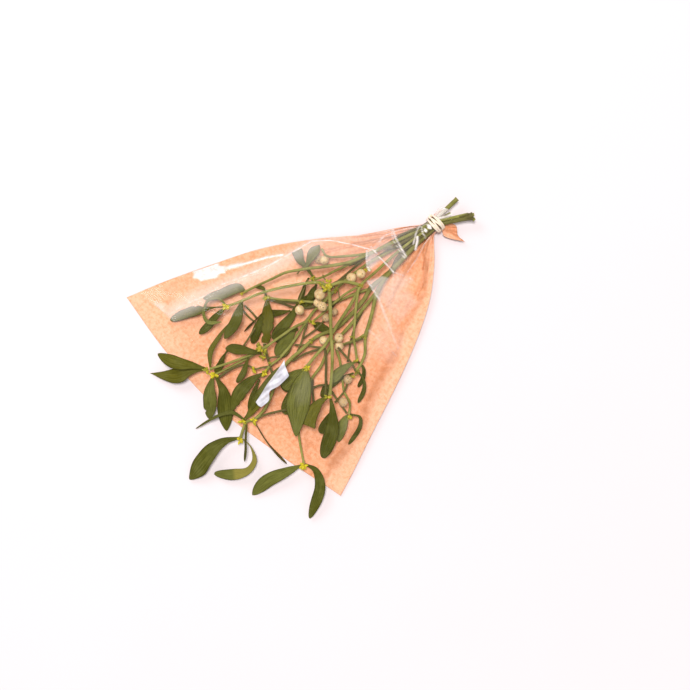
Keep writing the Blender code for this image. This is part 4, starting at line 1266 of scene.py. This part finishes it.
LEAVES = {
    "leaf_01": Leaf(11.5, (10, 25), [(-43, -114, 21), (-54, -113.5, 19), (-60, -103, 16), (-62, -90, 11)],
                    tone=0.5, edges=((0.9, 0.8, 1.2, 3.2, 5.4, 5.4, 2.4),
                                     (0.9, 0.8, 1.0, 2.0, 4.0, 5.0, 2.0))),
    "leaf_02": Leaf(13, (5, -15), [(-43, -115.5, 19), (-53, -113.5, 17.5), (-63, -112, 15),
                                   (-73, -108.5, 11)], 0.9, tone=0.2,
                    edges=((0.9, 1.4, 1.8, 2.0, 2.6, 4.4, 5.2), (0.9, 0.8, 0.9, 2.2, 4.4, 5.2, 5.2))),
    "leaf_03": Leaf(14, (-10, -25), [(-79.5, -168, 13), (-86.5, -173, 13), (-92.5, -187, 11.5),
                                     (-101, -201, 7.5)], tone=0.35,
                    edges=((1, 4, 5.2, 5.2, 5, 4.6, 3), (1, 3.5, 5, 5.4, 5, 4, 2.5))),
    "leaf_04": Leaf(12, (-10, -20), [(-82.5, -193, 20), (-93, -206, 12), (-101, -220, 7),
                                     (-108, -236.5, 4)], tone=0.2,
                    bites=((1, 0.35, 0.3, 0.04), (1, 0.5, 0.3, 0.03)),
                    edges=((0.8, 0.8, 2.2, 5, 5.4, 5.2, 4), (0.8, 0.8, 3.0, 4.8, 5.0, 4.6, 4))),
    "leaf_05": Leaf(12, (15, 10), [(-27, -197, 19), (-36, -203.5, 21), (-45, -210, 18), (-53.5, -218, 12)],
                    tone=0.12, edges=((1, 2.2, 3.2, 4.2, 5, 5, 3), (1, 1.8, 2.8, 3.8, 4.8, 4.4, 2.5))),
    "leaf_06": Leaf(15.5, (0, 15), [(-13.5, -209, 12), (-16, -223, 14), (-15.5, -237, 12.5),
                                    (-8.5, -254, 10.5)], tone=0.15,
                    bites=((-1, 0.6, 0.12, 0.03), (-1, 0.8, 0.2, 0.03), (-1, 0.9, 0.3, 0.03)),
                    edges=((1, 3, 5, 6, 6.2, 5, 2), (1, 2.2, 4.6, 5.8, 6.5, 5.2, 2))),
    "leaf_07": Leaf(16, (10, 0), [(-51, -242.5, 15), (-65, -250, 17), (-80, -259.5, 15), (-93.5, -266, 7)],
                    tone=0.15, warm=0.4, edges=((1, 1.6, 2.6, 3.4, 4.2, 3.4, 2),
                                                (1, 2.5, 5, 7.5, 7.6, 5.6, 3))),
    "leaf_08": Leaf(15, (-8, -10), [(-52, -243.5, 13), (-62, -256, 11.5), (-70, -269, 8), (-86, -284, 2)],
                    tone=0.12, warm=0.4, edges=((1, 3, 5, 6, 5.2, 2.6, 0.3),
                                                (1, 2.0, 5.0, 8.4, 8.0, 4.8, 0.4))),
    "leaf_09": Leaf(7, (20, 30), [(-51, -239.5, 16), (-61, -229, 16), (-65.5, -214, 11.5), (-68, -199, 9)],
                    tone=0.4, warm=0.4, edges=((0.9, 2.1, 3.1, 2.8, 2.2, 1.5, 0.9),) * 2),
    "leaf_10": Leaf(14, (10, 5), [(-43.5, -243, 12), (-36, -254, 13), (-27, -263, 11.5),
                                  (-17.5, -273.5, 6)], tone=0.35, bites=((1, 0.82, 0.35, 0.03),),
                    edges=((1, 3.2, 5.2, 6.4, 6.4, 5.4, 3), (1, 2.4, 4.4, 5.8, 6.0, 5.2, 3))),
    "leaf_11": Leaf(15, (0, -10), [(-42, -242, 10.5), (-28, -246.5, 8), (-15, -256, 6), (1, -270, 3)],
                    tone=0.1, edges=((1, 2.2, 4.0, 6.0, 7.2, 6.6, 3), (1, 2.6, 4.8, 6.4, 7.0, 6.2, 3))),
    "leaf_12": Leaf(8, (80, 85), [(12, -245, 12), (30, -249, 13), (45, -251, 11), (61, -251, 6)], tone=0.1),
    "leaf_13": Leaf(9, (20, 30), [(6, -250.5, 14), (-6, -253, 17), (-12, -260.5, 15), (-16.5, -273, 12),
                                  (-20, -289, 6)], tone=0.3,
                    edges=((1, 1.6, 2.1, 1.8, 1.5, 1.3, 1.0),) * 2),
    "leaf_14": Leaf(8, (60, 65), [(10, -252, 13), (18, -261, 15), (26, -269, 14.5), (33, -277, 12.5)],
                    tone=0.4, edges=((0.9, 1.8, 2.4, 2.8, 3.1, 3.0, 1.9),
                                     (0.9, 1.4, 1.8, 2.1, 2.3, 2.3, 1.5))),
    "leaf_15": Leaf(18, (5, -5), [(13.5, -266, 9.5), (6.5, -281, 12), (6, -301, 10), (9.5, -325.5, 3)],
                    tone=0.12, edges=((1.1, 3.2, 5.2, 7.6, 8.3, 7.2, 3),
                                      (1.1, 1.8, 3.5, 5.3, 7.5, 9.2, 4.5))),
    "leaf_16": Leaf(12, (12, 0), [(17, -264, 9.5), (27, -263.8, 9), (38, -270, 8.5), (41, -281, 8.5),
                                  (34.5, -293, 7), (21.5, -305.5, 4)], tone=0.45, under=(0.25, 0.82),
                    edges=((0.8, 0.6, 2.0, 3.4, 5.6, 5.0), (0.8, 0.6, 2.6, 3.2, 5.2, 4.5))),
    "leaf_17": Leaf(20, (-5, 5), [(11, -177, 25), (20, -190, 28), (32, -207, 27), (49, -227, 18)],
                    tone=0.6, edges=((1.2, 6.2, 10, 12, 12, 7.2, 3.2), (1.2, 5.6, 8.0, 9.4, 9.5, 6.5, 3))),
    "leaf_18": Leaf(14, (0, 10), [(9.5, -179, 20), (8, -188, 19), (9, -196, 18), (10, -205, 16)],
                    tone=0.55),
    "leaf_19": Leaf(18, (0, -10), [(43.5, -179, 28), (42.5, -190, 27), (45, -201, 25), (50.5, -212, 22)],
                    0.8, tone=0.45, warm=0.45, edges=((0.8, 2.5, 4.5, 6.5, 7, 6.5, 5.5),
                                                      (0.8, 1.5, 2.5, 4, 4.5, 5, 6))),
    "leaf_20": Leaf(18, (-5, -15), [(46, -180, 28), (58, -189.5, 26), (68.5, -202.5, 20),
                                    (80, -223.5, 11)], tone=0.0,
                    edges=((1, 2, 3.6, 5, 5.6, 6, 5.5), (1, 2.5, 4, 6.5, 8, 7.6, 6.5))),
    "leaf_21": Leaf(9.5, (0, 5), [(38, -140, 20), (35, -150, 21.5), (34.5, -159, 20), (36, -169, 18)],
                    tone=0.75),
    "leaf_22": Leaf(5, (20, 30), [(38.5, -139, 18.5), (47, -139.5, 16), (53, -146, 12.5), (56, -155, 9)],
                    tone=0.0),
    "leaf_23": Leaf(5, (30, 40), [(44.5, -145, 18), (55, -147, 17), (62, -154, 13.5), (66.5, -165, 9)],
                    tone=0.2),
    "leaf_24": Leaf(11, (-10, -15), [(68, -179, 11.5), (70, -187, 11.5), (73.5, -195, 10), (80, -203, 6)],
                    tone=0.95, edges=((1, 3, 4, 4.5, 4.5, 4, 2), (1, 2.8, 4.6, 5.6, 5.6, 4.2, 1.8))),
    "leaf_25": Leaf(5, (35, 25), [(69, -177.5, 13), (77, -173, 15), (84, -181, 12), (88, -198, 6)],
                    tone=0.1),
    "leaf_26": Leaf(15, (5, 15), [(-59, -159, 17.5), (-51, -167, 17), (-42, -175, 16), (-32, -188, 14)],
                    0.95, tone=0.0, warm=0.5, bites=((1, 0.5, 0.3, 0.03), (1, 0.66, 0.35, 0.03),
                                                     (-1, 0.8, 0.4, 0.05), (1, 0.86, 0.4, 0.04),
                                                     (-1, 0.62, 0.25, 0.02)),
                    edges=((1, 3.5, 4.8, 5, 5.8, 5.2, 3.4), (1, 3.1, 5, 5.8, 5.6, 4.8, 3.2))),
    "leaf_27": Leaf(9.5, (0, 10), [(-80, -192, 21), (-80.5, -204, 17.5), (-79.5, -215, 14.5),
                                   (-80, -226, 10)], tone=0.1,
                    edges=((1, 2.2, 3, 3.4, 3.6, 3.4, 2.4), (1, 2.2, 3, 3.6, 3.8, 3.6, 2.4))),
    "leaf_28": Leaf(7, (10, 30), [(-81, -189.5, 24), (-91, -190.5, 20.5), (-96, -199, 17),
                                  (-90.5, -209.5, 18.5), (-81, -212, 21), (-73, -203, 21)], tone=1.0,
                    edges=((0.9, 1.2, 1.4, 1.4, 1.6, 2.2, 1.4), (0.9, 1.2, 1.4, 1.4, 1.6, 2.2, 1.4))),
    "leaf_29": Leaf(17, (-5, -15), [(-74, -176, 25), (-68, -187, 24), (-63.5, -197, 22),
                                    (-60.5, -212, 18)], tone=0.12,
                    edges=((1, 2.5, 4.2, 5, 5.2, 4.8, 3), (1, 3.0, 4.8, 5.6, 5.4, 4.4, 2.6))),
    "leaf_30": Leaf(13, (0, 10), [(72, -241, 8), (66, -257, 9), (60, -275, 8), (60, -294, 3)], tone=0.55,
                    blunt=0.8),
    "leaf_31": Leaf(12, (20, 0), [(73, -239, 9), (85, -236, 12), (99, -245, 11), (112, -271, 3.5)],
                    tone=0.05, edges=((0.9, 1.8, 3.2, 4.6, 5.4, 5.2, 3.4),
                                      (0.9, 1.8, 3.0, 4.0, 4.8, 5.0, 3.4))),
    "leaf_32": Leaf(10.5, (10, 10), [(-38, -141, 15), (-33.5, -152, 8.5), (-31.5, -167, 5.5),
                                     (-30, -181, 3.5)], tone=0.3),
}
# Leaves deep in the bunch, seen only in the gaps between the others.
INNER_LEAVES = [
    Leaf(7, (20, 20), [(-12, -215, 11), (-8, -224, 9), (-3, -233, 8), (3, -242, 6)], tone=0.05),
    Leaf(8, (20, 10), [(5, -250, 12), (1, -235, 14), (-3, -218, 16), (-6, -192, 17)], tone=0.1),
    Leaf(7, (30, 20), [(-51, -218, 12), (-49, -226, 12), (-46, -232, 12), (-44, -240, 12)], tone=0.05),
    Leaf(6, (10, 20), [(-33, -208, 17), (-30, -214, 17), (-26, -222, 15), (-24, -232, 12)], tone=0.2),
    Leaf(9, (0, 20), [(-54, -166, 10), (-50, -176, 10), (-45.5, -186, 9), (-40, -197, 7)], tone=0.0),
    Leaf(8, (10, 20), [(-37, -151, 12), (-42, -158, 12), (-47, -165, 10), (-51, -173, 8)], tone=0.0),
    Leaf(5, (75, 80), [(-54, -166, 10), (-53.5, -176, 10), (-53.5, -186, 9), (-53, -195, 8)], tone=0.1),
    Leaf(14, (0, 5), [(-22, -157, 9), (-21, -168, 11), (-18, -178, 10), (-15, -189, 8)], tone=0.5),
    Leaf(12, (0, -10), [(12, -184, 14), (17, -198, 12), (22, -209, 10), (27, -221, 8)], tone=0.2),
    Leaf(9, (10, 20), [(55, -186, 18), (57, -194, 16), (60, -202, 14), (63, -209, 12)], tone=0.05),
    Leaf(5, (20, 20), [(44, -149, 14), (40, -158, 12), (38.5, -168, 10), (37, -179, 9)], tone=0.15),
    # This small dark leaf lies on a brownish line that is partly shade, so it stands partly for painted
    # shade.
    Leaf(4, (10, 10), [(-62, -158, 16), (-67, -155, 16), (-71, -155.5, 15), (-75, -159, 13)], tone=0.1),
    Leaf(9, (20, 10), [(-38, -117, 12), (-36, -123, 12), (-33, -130, 11), (-29, -138, 9)], tone=0.0),
    Leaf(5, (30, 30), [(-47, -118, 16), (-45, -125, 15), (-41, -132, 13), (-38, -140, 12)], tone=0.15),
    Leaf(8, (0, 10), [(6, -141, 9), (0, -139, 9), (-6, -141, 8), (-14, -144, 6)], tone=0.0),
    Leaf(8, (20, 10), [(32, -172, 9), (35, -176, 8), (38, -180, 8), (41, -185, 6)], tone=0.0),
    Leaf(11, (10, 5), [(-20, -158, 14), (-25, -165, 8), (-27, -172, 6), (-28, -181, 5)], tone=0.12),
    Leaf(10, (0, 0), [(9, -186, 10), (4, -194, 10), (7, -200, 9), (15, -204, 8)], tone=0.0),
    Leaf(8, (10, 0), [(-29, -120, 18), (-33, -127, 14), (-34, -134, 11), (-32, -142, 9)], tone=0.05),
    Leaf(7.5, (0, 10), [(5.5, -251, 13), (5, -244, 13.5), (3.8, -236, 14), (3, -224, 14)], tone=0.45,
         warm=0.6),
]

longest = max(LEAVES, key=lambda name: length_of(path_of(LEAVES[name].spine, LEAF_STATIONS)))
print("the longest of", len(LEAVES), "leaves is", longest)

# %% [markdown]
# The outline rises steeply from the narrow foot, is widest past the middle and closes round. `blunt` is
# the power of its last part: below a half the tip is squarer, above it more pointed. The leaves that show
# best have `edges` instead: half widths at even steps along the right and the left of the spine.

# %% The blade
TIP_ROUNDING = 12
UNDER_FADE = 0.05


def half_width(leaf, share, right):
    """Half the width of the blade on one side of its spine."""
    if leaf.edges:
        profile = leaf.edges[0 if right else 1]
        half = through([(0, 0, width) for width in profile], share).z
        if leaf.keep == 1:
            half *= math.sqrt(max(0.0, 1 - share**TIP_ROUNDING))
        return max(half, 0.03)
    share *= leaf.keep
    peak = max(x**0.8 * (1 - x**4) ** leaf.blunt for x in (0.55, 0.6, 0.65, 0.7, 0.75, 0.8))
    blade = share**0.8 * max(0.0, 1 - share**4) ** leaf.blunt / peak
    stalk = LEAF_STALK * (1 - share) ** 0.5
    return max(leaf.width * blade, stalk, 0.05) / 2


def bitten(leaf, side, share):
    """How much of the half width is left on this side of a torn leaf."""
    left = 1.0
    for bite_side, at, depth, length in leaf.bites:
        if bite_side == side:
            left -= depth * near(share - at, length)
    return max(left, 0.08)


def blade_points(leaf, seed):
    """Rings of points round the blade, with (u, v, underside) for each point."""
    points, facts = [], []
    wave = 0.5 + 0.5 * noise.noise(Vector((seed, 3.1, 0.7)))
    for i in range(LEAF_STATIONS + 1):
        share = 1 - (1 - i / LEAF_STATIONS) ** 1.5
        middle = through(leaf.spine, share)
        ahead = through(leaf.spine, min(1, share + 0.01)) - through(leaf.spine, max(0, share - 0.01))
        flat = ahead.cross(Vector((0, 0, 1))).normalized()
        up = flat.cross(ahead).normalized()
        roll = math.radians(mix(*leaf.roll, share) + LEAF_TWIST * math.sin(5 * share + seed))
        side = flat * math.cos(roll) + up * math.sin(roll)
        face = up * math.cos(roll) - flat * math.sin(roll)
        halves = half_width(leaf, share, True), half_width(leaf, share, False)
        half = sum(halves) / 2
        thick = LEAF_THICKNESS / 2 * (0.45 + 0.55 * min(1, half / 2)) * (1 - 0.3 * share)
        for j in range(LEAF_SIDES):
            angle = 2 * math.pi * j / LEAF_SIDES
            v, rise = math.cos(angle), math.sin(angle)
            right = v > 0
            uneven = 1 + 0.05 * noise.noise(Vector((share * 5, 2 * right, seed)))
            reach = halves[not right] * bitten(leaf, 1 if right else -1, share) * uneven
            body = math.copysign(abs(rise) ** 0.75, rise) * thick
            cup = LEAF_CUP * half * (v * v - 0.4)
            channel = -CHANNEL_DEPTH * near(v, CHANNEL_WIDTH) * min(1, half / 3)
            ripple = RIPPLE_HEIGHT * wave * half / 6 * abs(v) ** 2.5
            ripple *= math.sin(9 * share + 3 * seed + 2 * right)
            points.append(middle + side * (reach * v) + face * (body + cup + channel + ripple))
            facts.append((share, v, rise < 0))
    return points, facts


def shown_under(leaf, share, below):
    """How pale a point is: undersides are, and some leaves turn theirs up for part of their length."""
    start, end = leaf.under
    if end <= start:
        return 0.55 if below else 0.0
    if start <= share < end - UNDER_FADE:
        return 1.0
    return max(0.0, (end - share) / UNDER_FADE) if share < end else 0.0


def leaf_piece(name, leaves, first_seed):
    """One piece of one or more blades, with their veins' coordinates, tones and undersides."""
    points, faces, facts, tones, unders, warms = [], [], [], [], [], []
    rings = circle_faces(LEAF_STATIONS + 1, LEAF_SIDES)
    for k, leaf in enumerate(leaves):
        blade_at, blade_facts = blade_points(leaf, first_seed + 1.7 * k)
        faces += [tuple(len(points) + i for i in face) for face in rings]
        points += blade_at
        facts += [(share, v) for share, v, _ in blade_facts]
        tones += [leaf.tone + 0.1 * noise.noise(Vector(p) / 9) for p in blade_at]
        unders += [shown_under(leaf, share, below) for share, _, below in blade_facts]
        warms += [leaf.warm] * len(blade_at)
    piece = add_piece(name, points, faces, leaf_finish)
    layer = piece.data.uv_layers.new(name="blade")
    corners_of = np.zeros(len(piece.data.loops), int)
    piece.data.loops.foreach_get("vertex_index", corners_of)
    layer.data.foreach_set("uv", np.array(facts, np.float32)[corners_of].ravel())
    paint(piece, "tone", tones)
    paint(piece, "under", unders)
    paint(piece, "warm", warms)
    return piece


for number, (name, leaf) in enumerate(LEAVES.items()):
    settle(leaf_piece(name + "_blade", [leaf], 2.3 * number), "leaf", name)
settle(leaf_piece("inner_leaves", INNER_LEAVES, 91.0), "leaf")
print(len(LEAVES), "leaves and", len(INNER_LEAVES), "inner ones,", LEAF_STATIONS * LEAF_SIDES, "faces each")

# %% [markdown]
# ## Berries
# The berries sit in the forks, mostly two or three together. Each is nearly round, as a fruit that grew
# freely is, and slightly dented at its apex, so it is made ring by ring from a ball that noise swells.

# %% Berries
# The last field darkens a berry towards brown: painted shade for berries that lie half hidden.
Berry = namedtuple("Berry", "place diameter apex dots dull", defaults=((0.2, -0.3, 1.0), 0, 0.0))

BERRY_RINGS = 32
BERRY_SIDES = 48
APEX_DENT = 0.05
DENT_REACH = 0.22
FOOT_SWELL = 0.03

BERRIES = {
    "berry_01": Berry((-16.5, -81.5, 27), 8.6, (0.3, 0.2, 1)),
    "berry_02": Berry((-29, -121.5, 25.5), 10.2, (-0.3, -0.4, 1)),
    "berry_03": Berry((-19.5, -127.5, 25), 8.8, (-0.1, 0.1, 1), 4),
    "berry_04": Berry((-31.5, -144.5, 22), 8.8, (0.3, -0.8, 1)),
    "berry_05": Berry((11.5, -136.5, 19.5), 8.8, (0.1, 0.7, 1), 2),
    "berry_06": Berry((56.5, -174.5, 15.5), 8.6, (0.6, -0.2, 1), 0, 0.55),
    "berry_07": Berry((-49, -96.5, 11.5), 8.6, (0.3, -0.5, 1)),
    "berry_08": Berry((3.5, -148, 16.5), 8.4, (-0.4, -0.5, 1)),
}
INNER_BERRIES = [
    Berry((-25, -128, 18), 8.0),
    Berry((-20, -90, 16), 9.5, (-0.3, -0.4, 1)),
    Berry((17, -141.5, 14.5), 8.4, (0.5, -0.5, 1)),
    Berry((44.5, -157, 13.5), 8.2, (0.2, 0.3, 1), 3, 0.5),
    Berry((-53, -99.5, 6.5), 8.2, dull=0.5),
    Berry((-9, -123, 12), 7.4, dull=0.6),
    Berry((-10, -132, 12), 7.8, dull=0.6),
]


def turned_to(apex):
    """The turn that takes a berry's own top to its apex."""
    return Vector(apex).to_track_quat("Z", "Y")


def on_ball(tilt, angle):
    """The direction at this tilt from the top and this angle round it."""
    return Vector((math.sin(tilt) * math.cos(angle), math.sin(tilt) * math.sin(angle), math.cos(tilt)))


def berry_piece(name, berries, first_seed):
    """One piece of one or more berries."""
    points, faces, meridians, shades = [], [], [], []
    rings = circle_faces(BERRY_RINGS + 1, BERRY_SIDES)
    for k, berry in enumerate(berries):
        turn, radius = turned_to(berry.apex), berry.diameter / 2
        start = len(points)
        for i in range(BERRY_RINGS + 1):
            tilt = math.pi * (i + 0.02) / (BERRY_RINGS + 0.04)
            for j in range(BERRY_SIDES):
                angle = 2 * math.pi * j / BERRY_SIDES
                way = on_ball(tilt, angle)
                swell = 1 + 0.022 * noise.noise(way * 1.6 + Vector((first_seed + k, 0, 0)))
                swell -= APEX_DENT * near(tilt, DENT_REACH)
                swell += FOOT_SWELL * max(0, -way.z) ** 3
                points.append(Vector(berry.place) + turn @ way * (radius * swell))
                stripe = max(0, math.cos(3 * angle)) ** 30
                meridians.append(stripe * max(0, math.sin(tilt)) ** 0.5 * 0.7)
                shades.append(berry.dull)
        faces += [tuple(start + i for i in face) for face in rings]
    piece = add_piece(name, points, faces, berry_finish)
    paint(piece, "meridian", meridians)
    paint(piece, "dull", shades)
    return piece


for number, (name, berry) in enumerate(BERRIES.items()):
    settle(berry_piece(name + "_flesh", [berry], 5 * number), "berry", name)
settle(berry_piece("inner_berries", INNER_BERRIES, 70), "berry")
print(len(BERRIES) + len(INNER_BERRIES), "berries")

# %% [markdown]
# ## Buds and marks
# At each joint sits a knot of short, pointed, yellow-green buds. There are over a hundred, so one bud is
# modelled and Geometry Nodes set a copy on each point, aimed along an attribute and scaled at random.
# The same tree sets the small dark dots on the berries, as they too repeat.

# %% The scatter tree
def scatter_tree():
    """A copy on each point, turned to its aim, sized and a little varied."""
    graph = Tree("copies_on_points", Copy="Object", Size="Float", Vary="Float", Skin="Material")
    given = graph.given
    settings = {"transform_space": "ORIGINAL"}
    copy = graph.add("GeometryNodeObjectInfo", settings, {"Object": given["Copy"]})["Geometry"]
    aim = graph.read("aim", "FLOAT_VECTOR")
    turn = graph.add("FunctionNodeAlignRotationToVector", {"axis": "Z"}, {"Vector": aim})[0]
    limits = {2: -1.0, 3: 1.0, "Seed": 7}
    chance = graph.add("FunctionNodeRandomValue", {"data_type": "FLOAT"}, limits)[1]
    scale = graph.read("size", "FLOAT") * given["Size"] * (1 + chance * given["Vary"])
    copies = {"Points": given["Geometry"], "Instance": copy, "Rotation": turn, "Scale": scale}
    placed = graph.add("GeometryNodeInstanceOnPoints", {}, copies)[0]
    return graph.ended(graph.real(placed))


def turned_form(name, profile, sides):
    """A small closed form turned about Z, from (radius, height) pairs in millimetres."""
    points = []
    for radius, height in profile:
        for j in range(sides):
            angle = 2 * math.pi * j / sides
            spot = Vector((radius * math.cos(angle), radius * math.sin(angle), height))
            points.append(spot * MILLIMETRE)
    mesh = bpy.data.meshes.new(name)
    mesh.from_pydata(points, [], [face[::-1] for face in circle_faces(len(profile), sides)])
    return bpy.data.objects.new(name, mesh)


def scattered(name, spots, copy, values):
    """Copies on (point, aim, size, ripeness) spots, as one mesh."""
    points = add_piece("spots", [spot[0] for spot in spots], [], table_finish)
    aims = points.data.attributes.new("aim", "FLOAT_VECTOR", "POINT")
    aims.data.foreach_set("vector", np.array([tuple(spot[1]) for spot in spots], np.float32).ravel())
    paint(points, "size", [spot[2] for spot in spots])
    paint(points, "ripe", [spot[3] for spot in spots])
    made = baked(name, points, SCATTER, {"Copy": copy, **values})
    bpy.data.objects.remove(copy)
    return made


SCATTER = scatter_tree()
print("scatter tree with", len(SCATTER.nodes), "nodes")

# %% [markdown]
# The buds of a knot point outwards and upwards, so each gets a random way round and a random rise. A
# knot states how many buds it has, how far they spread and how ripe, which is how yellow, they are.

# %% Buds
Knot = namedtuple("Knot", "place count spread ripe", defaults=(0.9,))

BUD_PROFILE = [
    (0.05, -0.6), (0.55, -0.4), (0.86, 0.1), (0.92, 0.7), (0.74, 1.4), (0.42, 2.0), (0.12, 2.45),
    (0.02, 2.6),
]
BUD_SIDES = 10
BUD_KNOTS = [
    Knot((-16, -75, 24), 5, 1.7, 0.5), Knot((-31, -109, 32), 6, 2.8, 0.45),
    Knot((-28, -113, 33), 5, 2.6, 0.3), Knot((-34, -114, 33), 4, 1.8, 0.2),
    Knot((-44, -115, 21), 3, 1.5, 0.2), Knot((-37, -139, 17.5), 4, 1.4, 0.3),
    Knot((-61, -158, 18.5), 5, 1.5, 0.35), Knot((-79, -171, 13.5), 4, 1.4, 0.4),
    Knot((-80, -191, 24), 8, 2.0), Knot((-16, -145, 17.5), 5, 1.6, 0.3),
    Knot((-4, -156, 13.5), 4, 1.3, 0.1), Knot((20, -127, 24.5), 3, 1.2, 0.1),
    Knot((27, -120, 19.5), 3, 1.2, 0.1), Knot((38, -140, 20.5), 3, 1.2, 0.2),
    Knot((45, -147, 18), 5, 1.6, 0.1), Knot((11, -176, 24), 6, 1.5, 0.6),
    Knot((12, -181, 23.5), 5, 1.5, 0.6), Knot((17, -145, 14.5), 3, 1.2, 0.1),
    Knot((43, -181, 29), 5, 1.4, 0.45), Knot((69, -178.5, 12.5), 6, 1.6, 0.5),
    Knot((-30, -194, 20), 6, 1.9, 0.35), Knot((-24, -199, 15), 5, 1.6, 0.4),
    Knot((-22, -213, 12.5), 4, 1.3), Knot((-12.5, -208, 12.5), 7, 1.8), Knot((-43, -242, 13), 8, 2.3, 1.0),
    Knot((-51, -244, 15.5), 6, 1.6, 0.35), Knot((5, -253, 13), 6, 1.6, 0.7),
    Knot((11.5, -245, 12.5), 7, 2.0), Knot((16, -267, 10.5), 8, 2.0), Knot((73.5, -241, 9), 8, 2.1, 1.0),
    Knot((-9, -89, 25), 4, 1.3, 0.0), Knot((-42, -116, 20.5), 3, 1.3, 0.1),
    Knot((44.5, -152, 14), 3, 1.2, 0.1), Knot((-34, -196, 18), 6, 2.0, 0.1),
    Knot((-27, -195, 18), 5, 1.8, 0.2), Knot((-17, -197, 14), 3, 1.2, 0.1),
    Knot((-23, -108, 24), 4, 1.5, -0.2),
]

spots = []
chance = np.random.default_rng(12)
for knot in BUD_KNOTS:
    for _ in range(knot.count):
        angle, rise = chance.uniform(0, 2 * math.pi), chance.uniform(-0.15, 1.0)
        aim = Vector((math.cos(angle), math.sin(angle), rise)).normalized()
        ripe = knot.ripe + chance.uniform(-0.25, 0.25)
        size = 0.7 + 0.25 * knot.spread
        spots.append((Vector(knot.place) + aim * (0.55 * knot.spread), aim, size, ripe))
bud_values = {"Size": 1.15, "Vary": 0.3, "Skin": bud_finish.material}
bud = turned_form("bud", BUD_PROFILE, BUD_SIDES)
settle(scattered("fork_buds", spots, bud, bud_values), "stem")
print(len(spots), "buds in", len(BUD_KNOTS), "knots")

# %% [markdown]
# What is left of the flower shows on a berry as one dark dot in its dent, and on some as a ring of dots
# round it. Each dot is sunk a little into the skin.

# %% Marks on the berries
MARK_PROFILE = [(0.05, -0.3), (0.32, -0.18), (0.36, 0.02), (0.2, 0.14), (0.04, 0.17)]
MARK_SIDES = 12
MARK_RING = 0.42

marks = []
for berry in list(BERRIES.values()) + INNER_BERRIES:
    turn = turned_to(berry.apex)
    dots = [(MARK_RING, 2 * math.pi * (i + 0.3) / berry.dots) for i in range(berry.dots)]
    for tilt, angle in [(0.0, 0.0), *dots]:
        way = turn @ on_ball(tilt, angle)
        reach = berry.diameter / 2 * (0.992 if tilt else 0.955)
        marks.append((Vector(berry.place) + way * reach, way, 1.3 if tilt else 1.0, 1.0))
mark_values = {"Size": 1.0, "Vary": 0.25, "Skin": mark_finish.material}
dot = turned_form("dot", MARK_PROFILE, MARK_SIDES)
settle(scattered("berry_marks", marks, dot, mark_values), "berry")
print(len(marks), "dots")

# %% Sizes and finish
boxes = {"cad": cad_box, "visual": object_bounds()}
for which, box in boxes.items():
    print(which, [[round(1000 * float(c), 1) for c in corner] for corner in box], "mm")
